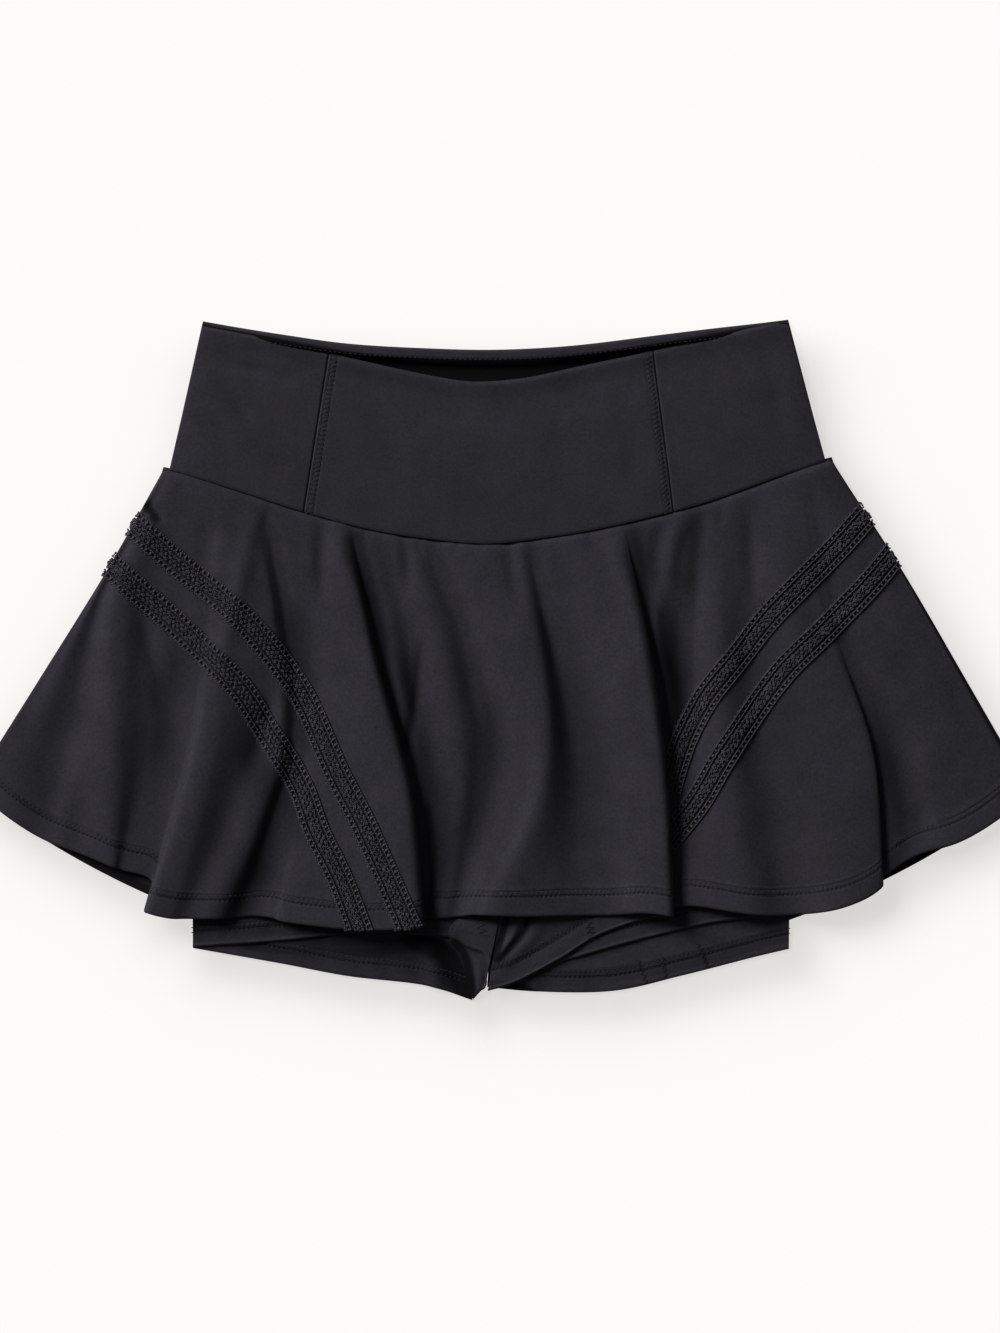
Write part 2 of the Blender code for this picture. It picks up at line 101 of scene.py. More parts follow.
# Seams, hems and the rows of stitching, as distances from the edge of a piece, and how far each
# rises or sinks.
HEM_TURN = 17.6
HEM_LIFT = 0.22
BACK_HEM_LIFT = 0.3
SHORTS_HEM_LIFT = 0.25
SHORTS_TURN_PAST_ROWS = 0.6
HEM_TURN_SOFTNESS = 0.9
HEM_ROWS = (12.3, 15.5)
SHORTS_HEM_ROWS = (9.4, 12.6)
FOLD_HEM_ROWS = (13.2, 16.4)
SEAM_TUCK = 1.9
TUCK_REACH = 2.2
TUCK_OVERLAP = 1.5
BACK_SEAM_STEP = 2.0
TOPSTITCH_ROWS = (1.9, 5.3)
BACK_STITCH_INSET = 6.2
STITCH_GROOVE = 0.38
TOPSTITCH_GROOVE = 0.24
GROOVE_WIDTH = 0.6
HEM_LIP = 0.55
HEM_LIP_INSET = 1.0

# How softly edges turn down. Columns: depth; reach.
SEAM_EDGE = (0.5, 0.55)
HEM_EDGE = (0.6, 0.7)
BAND_TOP_EDGE = (0.9, 1.4)
BAND_SEAM_EDGE = (0.4, 0.9)
BACK_TOP_EDGE = (0.8, 1.0)

# Slight unevenness of the cloth. Columns: size along it; height; seed.
SKIRT_WAVERS = [(34, 0.35, 3.1), (11, 0.10, 7.7)]
BAND_WAVERS = [(30, 0.22, 5.3), (9, 0.06, 2.9)]

# The elastic rim inside the back band, and the painted shade below it behind the front.
BACK_RIM_LIFT = 5.4
BACK_RIM = (5.5, 9.5)
BACK_RIM_SIDES = 60
BACK_DARK = 0.95
BACK_DARK_SHARE = 0.42
BACK_DARK_START = (0.8, 6.8)
BACK_DARK_REACH = (0.5, 2.2)
BACK_DARK_END = (16, 12)

# Stitches, and the thread that crosses between their rows.
STITCH_PITCH = 3.0
STITCH_LENGTH = 2.1
THREAD_RADIUS = 0.26
LOOP_PITCH = 1.35
LOOP_RADIUS = 0.16
LOOP_LIFT = 0.3
STITCH_RAISE = 0.4 * THREAD_RADIUS

# The crotch flap curls up below the skirt's hem, and laps over the leg beside it.
FLAP_STEP = 1.8
FLAP_OVERLAP = 4.5
FLAP_RISE = (-1.0, 0.8)
FLAP_TOP = (-152, -158)
FLAP_FOOT = (-178, -168)

# The lace: its width, the repeat of its holes, its yarns, its two ladder edges and what lies
# between them.
LACE_WIDTH = 15.6
LACE_PITCH = 3.5
LACE_YARN = 0.36
LACE_KNOT = 0.56
LACE_ROSETTE = 1.3
LACE_EDGE = LACE_WIDTH / 2 - 0.5
LACE_LADDER = LACE_EDGE - 2.7
LACE_INNER_ROSETTES = 2.0
LACE_INNER_LINKS = 2.3
HOLE_START = 0.8
RAIL_START = 0.4
LACE_LAST = 0.6
RAIL_STEP = 0.8
RAIL_SWING = 0.16
SCALLOP_OUT = 0.35

# How it is laid: at even stations, from a little past the side of the skirt, where it turns down,
# and on cloth that rises no more than its reach from one station to the next.
LACE_STATION = 1.0
LACE_COLUMNS = 13
LACE_MARGIN = 1
LACE_OVERHANG = 1.6
LACE_REACH = 4.0
LACE_START_Z = 6.0
RIBBON_STEPS = 40
RIBBON_AIM = 8
LACE_DROP = 1.1
LACE_DROP_START = 0.4
LACE_LOWEST = 0.7

# Shade that is stored on the cloth: under the lace, but not past the fold that hides the left
# strips' ends, and in the furrows of the stitching.
LACE_SHADE = 0.45
LACE_SHADE_EDGE = 1.2
LACE_END = 0.006
LACE_FOLD = [(84, 30), (90.5, -18), (99.5, -84), (100.5, -150)]
ROW_SHADE = 0.5
ROW_REACH = 0.8

# The knit's face: its courses to a wale, the mean of its mottling, how dark painted shade gets.
COURSES_PER_WALE = 1.25
MEAN_TONE = 2.8
PAINTED_SHADE_LOSS = 0.95

# The ground: a fine sheet round the garment within one that goes far, and its soft shade, moved
# off to the lower right, which fades with distance and towards the top.
FLOOR_HALF = 520.0
FLOOR_SQUARES = 208
FLOOR_FAR = 30000.0
FLOOR_Z = -0.4
SHADE_SHIFT = (10.0, -11.0)
SHADE_FADE = 12.0
SHADE_DEPTH = 0.235
SHADE_TOP = (205.0, 172.0)
FLOOR_TINT = (0.065, 0.0645, 0.0634, 1)
FLOOR_GLOW = (0.907, 0.900, 0.8862, 1)

# One broad light from the upper left and a dim sky. The camera looks straight down, and its view
# is this high where the cloth's face lies. View sizes are metres, lens and sensor millimetres.
SUN_FROM = (-0.72, 0.60, 0.52)
SUN_SPREAD = 26
SUN_STRENGTH = 6.1
SKY_STRENGTH = 0.16
VIEW_HEIGHT = 0.8
VIEW_CENTRE = (-0.0003, -0.0036)
VIEW_CLOTH_Z = 0.006
VIEW_LENS = 85
VIEW_SENSOR = 36
VIEW_GAMMA = 0.84

# Curves across the garment, as points of x and y.
WAIST_SEAM = [
    (-203, 115), (-190, 112), (-157, 101.5), (-118, 89), (-76, 78), (-36, 72), (-6, 70),
    (30, 74), (60, 79), (101, 88.5), (129, 96.5), (165, 109.5), (196, 120), (200, 121),
]
FRONT_TOP = [
    (-179, 201), (-143, 194), (-102, 184.5), (-63, 175.5), (-30, 169), (-12, 167.5),
    (16, 170), (44, 176), (87, 185), (129, 194.5), (163, 202.5), (173, 202),
]
BACK_TOP = [
    (-179, 204), (-130, 195.5), (-90, 190), (-36, 187), (0, 186.5), (44, 189), (101, 196),
    (173, 205),
]

# Fold lines of the skirt front. Columns: name; x at the waist, a third down, two thirds down and
# at the hem; y at the hem; height of the face a third down, two thirds down and at the hem.
SKIRT_FOLDS = [
    ("side_right", -202.5, -238.5, -278.0, -318.0, -76.0, 2.7, 2.7, 2.7),
    ("roll_right", -200.7, -240.0, -271.5, -297.5, -93.0, 4.0, 5.4, 6.0),
    ("hollow_right", -198.8, -238.5, -256.0, -273.0, -109.2, 3.8, 3.2, 4.0),
    ("ridge_right", -194.0, -229.0, -231.0, -235.5, -124.0, 8.0, 10.8, 9.4),
    ("hollow_a", -184.0, -208.5, -211.5, -227.0, -126.4, 5.4, 5.2, 6.8),
    ("a_under", -172.5, -178.0, -190.5, -209.0, -134.0, 7.8, 7.2, 6.8),
    ("a_edge", -169.5, -174.5, -188.5, -213.5, -149.5, 9.0, 9.6, 10.2),
    ("a_brow", -166.5, -170.5, -185.0, -210.5, -151.5, 10.4, 12.6, 13.2),
    ("a_top", -160.5, -160.0, -175.0, -199.0, -154.3, 11.4, 13.4, 12.8),
    ("hollow_d", -151.5, -138.0, -154.0, -187.0, -154.8, 9.8, 7.2, 10.0),
    ("ridge_s", -146.5, -132.0, -136.0, -169.0, -155.0, 8.4, 9.2, 10.2),
    ("hollow_v", -139.5, -125.0, -128.0, -156.5, -155.0, 5.4, 5.4, 5.4),
    ("b_edge", -132.0, -118.0, -121.0, -137.0, -155.0, 6.0, 6.2, 8.0),
    ("b_brow", -126.5, -111.5, -114.0, -131.0, -156.5, 7.2, 7.4, 10.2),
    ("b_top", -113.0, -98.0, -91.5, -90.5, -161.0, 10.6, 10.8, 13.2),
    ("e_top", -95.5, -82.0, -63.5, -57.5, -161.0, 13.6, 16.0, 16.5),
    ("e_brow", -93.0, -76.5, -56.0, -49.0, -161.0, 13.6, 16.2, 16.8),
    ("e_edge", -91.0, -73.5, -52.5, -45.5, -160.5, 10.5, 12.5, 13.5),
    ("e_under", -89.0, -75.0, -56.5, -51.5, -158.5, 7.5, 8.5, 8.5),
    ("e_floor", -86.5, -70.0, -52.0, -48.0, -157.0, 5.5, 5.6, 5.8),
    ("tongue", -80.5, -62.0, -46.0, -42.5, -156.5, 8.2, 5.6, 5.6),
    ("slot_mid", -71.0, -51.5, -39.0, -37.5, -155.5, 5.6, 5.5, 5.7),
    ("swell_mid", -58.5, -33.0, -23.5, -33.0, -155.0, 9.8, 7.4, 6.2),
    ("dip_mid", -42.0, -13.5, -10.5, -26.5, -154.0, 5.8, 5.4, 6.0),
    ("plateau_mid", -26.0, 1.0, 12.0, -16.5, -152.4, 11.0, 10.0, 10.2),
    ("ridge_mid", 3.0, 23.0, 25.5, -1.0, -152.3, 12.8, 14.6, 13.2),
    ("valley_mid", 23.0, 37.0, 49.5, 62.0, -153.0, 5.6, 5.8, 7.4),
    ("ridge_left", 50.5, 62.5, 77.0, 84.0, -151.4, 12.0, 12.8, 12.6),
    ("g_top", 67.0, 80.0, 90.5, 95.0, -152.0, 15.0, 16.4, 15.2),
    ("g_brow", 70.0, 86.5, 97.0, 101.0, -153.0, 15.6, 16.8, 15.8),
    ("g_edge", 73.0, 90.5, 100.5, 104.0, -153.0, 12.0, 13.0, 12.5),
    ("g_under", 75.5, 87.5, 96.5, 99.5, -150.5, 7.5, 8.5, 9.0),
    ("g_floor", 78.5, 92.0, 101.5, 103.0, -148.0, 5.5, 5.5, 7.0),
    ("swell_g", 85.5, 97.5, 108.0, 110.0, -147.5, 6.8, 5.5, 7.4),
    ("dip_g", 108.0, 113.5, 116.0, 118.0, -147.5, 5.4, 6.4, 9.0),
    ("ridge_h", 129.0, 131.0, 138.5, 151.0, -152.3, 10.6, 11.0, 12.0),
    ("dip_h", 147.0, 151.0, 161.0, 175.0, -152.8, 6.8, 6.0, 6.2),
    ("ridge_c", 164.5, 176.0, 194.0, 202.5, -148.8, 11.0, 12.2, 12.8),
    ("c_brow", 178.0, 192.0, 219.5, 226.0, -140.0, 9.4, 11.4, 11.6),
    ("c_edge", 179.8, 194.5, 223.0, 229.5, -137.0, 8.4, 9.2, 9.2),
    ("c_under", 181.6, 197.5, 221.5, 224.5, -134.0, 7.4, 6.6, 6.4),
    ("c_floor", 183.8, 203.0, 231.5, 238.5, -129.5, 6.2, 4.0, 3.8),
    ("swell_left", 188.5, 217.0, 252.0, 261.0, -118.6, 7.0, 6.2, 5.8),
    ("roll_left", 194.0, 229.0, 267.5, 291.0, -101.0, 6.0, 5.8, 5.6),
    ("side_left", 199.0, 241.5, 280.0, 318.0, -82.0, 2.7, 2.7, 2.7),
]

# The flat back. Columns: name; x at the waist, a third down, two thirds down and at the hem.
SKIRT_BACK = [
    ("side_right", -202.5, -238.5, -278.0, -318.0),
    ("quarter_right", -150.0, -172.0, -198.0, -222.0),
    ("middle_right", -75.0, -86.0, -97.0, -108.0),
    ("middle", 0.0, 0.0, 0.0, 0.0),
    ("middle_left", 75.0, 86.0, 97.0, 108.0),
    ("quarter_left", 150.0, 172.0, 198.0, 222.0),
    ("side_left", 199.0, 241.5, 280.0, 318.0),
]

# The waistband. Columns: name; x at the top edge and at the waist seam.
BAND_FRONT_RIGHT = [("side", -179.0, -199.0), ("middle", -146.0, -161.0), ("seam", -103.2, -118.2)]
BAND_FRONT_CENTER = [
    ("seam_right", -102.9, -117.9), ("quarter_right", -55.0, -62.0), ("middle", -6.0, -6.0),
    ("quarter_left", 42.0, 49.0), ("seam_left", 91.5, 103.8),
]
BAND_FRONT_LEFT = [("seam", 91.8, 104.1), ("middle", 132.0, 150.0), ("side", 173.0, 195.3)]
BAND_BACK = [
    ("side_right", -179.0, -199.0), ("quarter_right", -120.0, -132.0), ("right", -60.0, -66.0),
    ("middle", 0.0, 0.0), ("left", 60.0, 66.0), ("quarter_left", 120.0, 132.0),
    ("side_left", 173.0, 195.3),
]
BAND_DIP = [0.5, 1.1, 0.2, 0.0, 0.0, 0.1, 0.3]

# The shorts. Columns: name; x and y at the top, at the crease of the leg, and at the hem.
SHORTS_BACK_RIGHT = [
    ("side", -180.0, 107.0, -184.5, -60.0, -185.0, -173.0),
    ("outer", -120.0, 88.0, -128.0, -60.0, -131.0, -182.5),
    ("inner", -76.0, 76.0, -84.0, -60.0, -91.0, -190.0),
    ("thigh", -40.0, 71.0, -42.0, -60.0, -45.0, -195.5),
    ("crotch", -0.2, 68.5, -0.2, -60.0, -17.0, -204.3),
]
SHORTS_BACK_LEFT = [
    ("crotch", 0.2, 68.5, 0.2, -60.0, -8.0, -196.5),
    ("thigh", 24.0, 71.5, 22.0, -60.0, 19.5, -199.0),
    ("inner", 60.0, 77.5, 62.0, -60.0, 65.5, -199.0),
    ("outer", 112.0, 90.5, 110.0, -60.0, 109.5, -189.5),
    ("side_seam", 146.0, 101.5, 150.0, -60.0, 152.5, -178.5),
    ("side", 176.0, 112.5, 174.0, -60.0, 173.5, -173.5),
]
SHORTS_FRONT_RIGHT = [
    ("side", -180.0, 107.0, -184.5, -60.0, -185.0, -172.5),
    ("outer", -120.0, 88.0, -128.0, -60.0, -131.0, -168.5),
    ("inner", -76.0, 76.0, -76.0, -60.0, -75.5, -163.0),
    ("thigh", -40.0, 71.0, -45.0, -60.0, -48.0, -165.0),
    ("crotch", -0.2, 68.5, -0.2, -100.0, -29.5, -166.5),
]
SHORTS_FRONT_LEFT = [
    ("crotch", 0.2, 68.5, 0.2, -60.0, 33.5, -182.0),
    ("inner", 40.0, 74.0, 45.0, -60.0, 80.0, -169.0),
    ("thigh", 80.0, 82.0, 90.0, -60.0, 123.5, -158.5),
    ("outer", 130.0, 96.0, 135.0, -60.0, 149.5, -154.5),
    ("side", 176.0, 112.5, 174.0, -60.0, 173.5, -147.0),
]
SHORTS_FRONT_LEFT_FOLD = [
    ("crotch", 1.0, -118.0, -0.5, -154.0, -7.5, -198.5),
    ("inner", 14.0, -117.0, 12.0, -150.0, 7.5, -194.0),
    ("thigh", 34.0, -116.0, 35.0, -146.0, 36.5, -179.0),
    ("bar", 55.0, -117.0, 56.0, -140.0, 56.5, -166.5),
    ("leg", 76.0, -119.0, 79.0, -138.0, 80.0, -157.5),
    ("edge", 90.0, -121.0, 98.0, -137.0, 103.0, -152.0),
]
SHORTS_GUSSET = [
    ("outer", -4.8, -112.0, -27.2, -163.5, -16.3, -203.8),
    ("middle", -3.0, -112.0, -14.5, -161.0, -13.5, -200.5),
    ("inner", -1.2, -112.0, -1.6, -159.0, -9.5, -196.3),
]

# The lace, as points of x and y along the middle of each strip, from the side of the skirt down.
LACE_PATHS = {
    "trim_upper_right": [
        (-226, 87), (-195.5, 59.5), (-171.5, 40.5), (-151, 21.5), (-131.5, -2), (-116, -26),
        (-98.5, -65.5), (-81.5, -98.5), (-64, -137.5), (-50, -170),
    ],
    "trim_lower_right": [
        (-242, 65), (-218, 42.5), (-199.5, 26.5), (-178.5, 6.5), (-156.5, -16), (-139.5, -43),
        (-120.5, -74), (-109.5, -103), (-95.5, -131.5), (-80, -172),
    ],
    "trim_upper_left": [
        (224, 92), (201.5, 67), (180.5, 46), (160.5, 25), (143.5, 3.5), (125, -20),
        (112.5, -43), (106, -60), (100.5, -79),
    ],
    "trim_lower_left": [
        (242, 70), (219.5, 43.5), (194, 17.5), (172.5, -3.5), (153.5, -28.5), (133.5, -58.5),
        (118, -85.5), (96, -113),
    ],
}

# Small troughs pressed into the skirt front, and ridges where the depth is negative. Columns:
# name; points of x and y along it; half width; depth. They taper to nothing at both ends.
CREASE_END = 0.02
CREASE_TAPER = 0.6
FRONT_CREASES = [
    ("gather_a", [(-106, 86), (-107.5, 60), (-106, 34)], 5.0, 2.2),
    ("gather_b", [(-58.5, 80), (-56, 60), (-55, 40)], 3.4, 1.7),
    ("gather_c", [(-40, 76), (-37, 60), (-31, 34)], 4.6, 2.4),
    ("gather_d", [(4.5, 72), (5.7, 60), (11, 34)], 4.0, 2.0),
    ("gather_e", [(18.5, 72), (21, 60), (27, 24), (32, -8)], 4.2, 1.6),
    ("gather_f", [(98.5, 84), (94.5, 71), (93.5, 58), (97, 42)], 3.2, 2.2),
    ("gather_g", [(120, 86), (114.5, 64), (113, 46), (111, 18)], 4.6, 3.4),
    ("g_ridge", [(107, 86), (102, 62), (101, 44)], 4.0, -1.6),
    ("g_shoulder", [(66, 74), (70.5, 60), (80, 28)], 5.0, -1.5),
    ("g_inner", [(96, 44), (93.5, 22), (96, -4)], 3.6, -1.4),
    ("e_shoulder", [(-98, 78), (-93.5, 60), (-84, 32)], 5.0, -1.6),
    ("v_top", [(-138, 84), (-134, 60), (-128.5, 24), (-125.5, -8)], 4.6, 2.0),
    ("gather_h", [(149, 92), (151, 60), (153, 34)], 4.2, 1.6),
    ("nick_a", [(-81, 78.5), (-82.5, 68)], 1.8, 0.8),
    ("nick_b", [(-48, 74), (-49, 64)], 1.8, 0.8),
    ("nick_c", [(-26, 71), (-28, 62)], 1.8, 0.7),
    ("nick_d", [(-14, 70), (-15, 60)], 1.8, 0.7),
    ("nick_e", [(53, 76), (55, 62)], 2.2, 0.7),
    ("nick_f", [(133, 94), (132, 80)], 2.2, 0.8),
    ("nick_g", [(-138, 92), (-142, 76)], 2.6, 0.8),
    ("tuck_right", [(-213, 95), (-208, 91), (-202, 83)], 2.4, 2.4),
    ("yoke_right", [(-175, 86), (-177, 62), (-182, 44)], 6.0, 1.3),
    ("yoke_ridge", [(-147, 90), (-153, 60), (-161, 24), (-170, -12)], 6.0, -1.9),
    ("flank_a", [(-216, 38), (-212, 12), (-205, -9), (-204, -36)], 4.6, 1.9),
    ("flank_ridge", [(-226, 24), (-224, 4), (-223, -18)], 4.4, -0.8),
    ("deep_d", [(-136, -20), (-143, -46), (-151, -72)], 5.4, 2.0),
    ("deep_v", [(-125, -64), (-134, -86), (-146, -118)], 4.8, 2.4),
    ("beside_lace", [(-112, -14), (-117, -44), (-121, -70), (-128, -98)], 6.0, 1.3),
    ("behind_e", [(-88, 78), (-83, 60), (-72, 26), (-67, 2)], 5.0, 2.8),
    ("tongue_ridge", [(-65.5, 8), (-61, -18), (-58, -50)], 3.0, -1.4),
    ("tongue_dip", [(-53, 8), (-51.5, -18), (-52, -50)], 3.4, 1.5),
    ("mid_valley", [(-35, 60), (-25, 24), (-18, -12), (-6, -48), (-14, -90)], 6.4, 1.6),
    ("low_floor", [(-42, -90), (-37, -120), (-34, -146)], 7.0, 1.1),
    ("slow_rise", [(44, 40), (50, -6), (57, -50), (62, -96)], 13.0, 1.0),
    ("low_valley", [(38, -80), (46, -118), (50, -146)], 10.0, 1.4),
    ("behind_g", [(114, 46), (111, 24), (110, -12), (114, -40)], 5.8, 2.8),
    ("left_soft", [(176, 60), (188, 26), (200, -10)], 8.0, 1.0),
    ("left_ridge", [(205, 40), (224, 6), (243, -34)], 9.0, -0.8),
    ("hollow_fill", [(-250, -50), (-259, -84), (-268, -122)], 6.0, -1.3),
    ("c_fill", [(216, -10), (231, -70), (236, -100), (235, -138)], 6.5, -2.4),
    ("hem_ripple_b", [(-70, -110), (-66, -158)], 5.0, 0.8),
    ("hem_ripple_c", [(70, -112), (72, -150)], 7.0, 0.7),
    ("hem_ripple_d", [(250, -84), (258, -116)], 6.0, 1.2),
]

# Where the hem of the front lies higher than its cut line. Columns: x; half width; rise.
HEM_RISES = [(249, 20, 7.0), (-252, 22, 2.0), (-46, 9, 1.5), (12, 22, -1.0), (-148, 10, 1.4)]
HEM_RISE_REACH = 34.0
HEM_RISE_POWER = 1.5

# Where the flap at the crotch curls over its own inside, as points of x and y.
FLAP_CURL = [(-31, -161), (-20.1, -170.7), (-10.5, -174.9), (-6, -181), (-5, -186), (-11, -199)]

# The same on the flat back, the band and the shorts, slight, as laid cloth has.
BACK_CREASES = [
    ("ripple_a", [(-258, -104), (-262, -132)], 2.4, 0.7),
    ("ripple_b", [(-240, -112), (-245, -142)], 2.2, -1.0),
    ("ripple_c", [(-226, -118), (-230, -150)], 2.2, -0.9),
    ("back_a", [(-160, 90), (-185, 0), (-215, -90)], 9.0, -0.25),
    ("back_b", [(-92, 70), (-100, -30), (-120, -150)], 11.0, -0.22),
    ("back_c", [(-30, 60), (-38, -60), (-30, -170)], 8.0, -0.25),
    ("back_d", [(48, 66), (60, -40), (52, -168)], 12.0, -0.2),
    ("back_e", [(118, 84), (140, -20), (168, -130)], 9.0, -0.25),
    ("back_f", [(170, 96), (210, 10), (252, -80)], 8.0, -0.25),
]
BAND_CREASES = [
    (
        "top_roll",
        [(-172, 189), (-141, 184), (-102, 174), (-63, 165), (-30, 158.5), (-10, 157)], 5.0, 0.5,
    ),
    ("top_roll_left", [(-10, 157), (16, 159), (44, 165), (87, 175), (129, 184)], 5.0, 0.4),
    ("right_a", [(-172, 186), (-158, 176), (-140, 172)], 3.6, 0.9),
    ("right_b", [(-176, 172), (-160, 158), (-148, 140)], 4.4, 0.9),
    ("right_c", [(-184, 150), (-170, 138), (-160, 122)], 5.0, 0.7),
    ("right_d", [(-150, 178), (-134, 170), (-120, 172)], 4.4, 0.6),
    ("center_a", [(-80, 150), (-66, 132), (-60, 110)], 9.0, 0.5),
    ("center_b", [(20, 160), (34, 140), (30, 112)], 10.0, 0.5),
    ("center_c", [(70, 158), (80, 130), (78, 104)], 7.0, 0.5),
    ("left_a", [(120, 176), (130, 156), (134, 132)], 7.0, 0.6),
    ("left_b", [(158, 184), (166, 160), (168, 136)], 6.0, 0.6),
]
SHORTS_CREASES = {
    "shorts_back_right": [
        ("hem_a", [(-110, -150), (-104, -192)], 6.0, 0.6),
        ("hem_b", [(-72, -160), (-66, -198)], 6.0, 0.6),
        ("hem_c", [(-156, -140), (-150, -182)], 6.0, 0.5),
        ("mouth", [(-46, -160), (-42, -176), (-39, -188), (-36, -212)], 6.5, -3.6),
    ],
    "shorts_front_right": [
        ("lip", [(-100, -170), (-74, -168), (-56, -169), (-36, -172)], 6.0, -2.4),
        ("hem_a", [(-140, -148), (-134, -172)], 5.0, 0.6),
        ("hem_b", [(-106, -150), (-100, -170)], 5.0, 0.7),
    ],
    "shorts_back_left": [
        ("hem_a", [(52, -178), (58, -202)], 5.0, 0.6),
        ("hem_b", [(140, -150), (146, -182)], 6.0, 0.5),
        ("corner", [(21, -188), (20, -206)], 2.2, -0.9),
        ("allowance", [(90, -178), (94, -198)], 5.0, -0.5),
        ("side_seam", [(123, -166), (129, -190)], 1.3, 0.5),
    ],
    "shorts_front_left": [
        ("fan_a", [(60, -150), (44, -172), (38, -184)], 4.0, 0.6),
        ("fan_b", [(110, -140), (92, -160), (84, -172)], 5.0, 0.5),
    ],
    "shorts_front_left_fold": [
        ("dark_inner", [(4, -150), (1, -164), (-3, -178), (-5, -188)], 2.2, 0.6),
        ("crescent", [(10.5, -152), (7.5, -165), (-0.5, -177), (-5, -184)], 2.6, -1.7),
        ("dark_outer", [(17.5, -150), (13, -164), (4, -174), (-4, -182)], 2.4, 0.7),
        ("ridge", [(25, -150), (20, -163), (10, -175), (-2, -188)], 4.0, -1.2),
        ("fan", [(48, -150), (30, -168), (14, -182)], 5.0, 0.5),
    ],
    "shorts_gusset": [
        ("curl", [(-34, -158), *FLAP_CURL[1:]], 1.1, -1.3),
        ("sliver", [(-14, -179), (-12, -190), (-13.5, -204)], 2.6, -0.8),
    ],
}

# Cloth deep in a hollow that soft light hardly reaches. Columns: points of x and y along it; half
# width, of which the core is evenly dark; share of its light lost.
RECESS_CORE = 0.35
RECESSES = {
    "skirt_back": [
        ([(-286, -100), (-250, -121), (-208, -142)], 8.0, 0.72),
        ([(232, -134), (252, -122), (276, -106)], 8.0, 0.85),
    ],
    "skirt_front": [
        ([(-215, 97), (-211, 91), (-207, 85)], 3.6, 0.85),
        ([(-43.5, -88), (-40.5, -120), (-42, -158)], 3.5, 0.5),
    ],
    "shorts_back_right": [
        ([(-52, -168), (-34, -176), (-27, -186), (-20, -206)], 10.0, 0.88),
        ([(-150, -172), (-90, -176), (-50, -172)], 4.0, 0.35),
    ],
    "shorts_front_right": [
        ([(-40, -156), (-28, -160)], 7.0, 0.25),
        ([(-190, -156), (-130, -158), (-60, -157)], 10.0, 0.4),
    ],
    "shorts_back_left": [([(-6, -199), (6, -197), (17, -199)], 5.0, 0.85)],
    "shorts_front_left_fold": [
        ([(5, -148), (1.5, -163), (-3, -178)], 3.2, 0.85),
        ([(18, -148), (13.5, -163), (4.5, -173.5), (-2, -180)], 3.0, 0.8),
        ([(-2, -150), (22, -152)], 4.0, 0.6),
    ],
    "shorts_gusset": [([(-27, -170), (-22, -178), (-19, -190), (-18, -208)], 5.0, 0.88)],
}

# Valleys beside the folds that little light reaches, with the same columns. The shade dies out
# over this share of the path at each end.
VALLEY_FADE = 0.34
VALLEYS = {
    "skirt_front": [
        ([(-96, 100), (-86, 66), (-74, 26), (-62, -10), (-54, -50)], 15.0, 0.55),
        ([(-58, -10), (-46, -56), (-36, -90), (-30, -124), (-26, -168)], 14.0, 0.4),
        ([(-14, 0), (-6, -36), (-7, -62), (-18, -100), (-28, -140)], 15.0, 0.45),
        ([(34, 40), (46, -12), (54, -50), (55, -84), (48, -160)], 22.0, 0.26),
        ([(76, 96), (82, 64), (88, 32)], 10.0, 0.4),
        ([(116, 100), (116, 64), (110, 24)], 10.0, 0.5),
        ([(98, 40), (103, 12), (106, -12), (108, -44)], 12.0, 0.6),
        ([(90, 44), (95, 18), (102, -6), (106, -26), (107, -50), (109, -80)], 9.0, 0.8),
        ([(79, 86), (83, 66), (86, 50), (90, 34), (95, 20)], 5.5, 0.55),
        ([(-124, 50), (-123, 14), (-119, -18), (-114, -74)], 15.0, 0.5),
        ([(-152, -10), (-149, -48), (-138, -84), (-143, -122), (-156, -164)], 18.0, 0.48),
        ([(-130, -50), (-124, -84), (-120, -120)], 14.0, 0.4),
        ([(-186, 36), (-200, -12), (-205, -48), (-212, -90)], 15.0, 0.55),
        ([(226, -10), (234, -60), (240, -90), (246, -130)], 18.0, 0.35),
        ([(156, 30), (172, -40), (178, -84), (184, -150)], 28.0, 0.22),
        ([(-292, 20), (-290, -40), (-294, -90)], 24.0, 0.22),
        ([(-138, -84), (-147, -122), (-154, -137), (-160, -152), (-168, -178)], 18.0, 0.75),
        ([(-47, 22), (-50, 4), (-52.5, -24), (-57, -48), (-60, -64)], 4.5, 0.7),
    ],
    "shorts_back_right": [
        (
            [(-190, -162), (-140, -167), (-100, -171), (-60, -178), (-36, -185), (-8, -198)],
            14.0, 0.5,
        ),
    ],
}

# Loops of thread that cross between two lines on a piece. Columns: piece; the two lines, as points
# of x and y.
SEAM_LOOPS = [
    ("shorts_back_left", [(81, -180), (87, -196)], [(83.5, -179), (89.5, -195.5)]),
    ("shorts_back_left", [(96, -178), (98.5, -193.5)], [(98.5, -177.5), (101, -193)]),
    ("shorts_back_left", [(117, -170), (124.5, -187.5)], [(119.5, -169.5), (127, -187)]),
    ("shorts_front_left_fold", [(49.5, -154), (52.5, -168.3)], [(53.7, -153), (57.9, -166.5)]),
    ("shorts_gusset", [(-16.5, -154), (-12.8, -165)], [(-10.5, -153.5), (-7.5, -165.3)]),
]


# ---------------------------------------------------------------- curves and grids of points


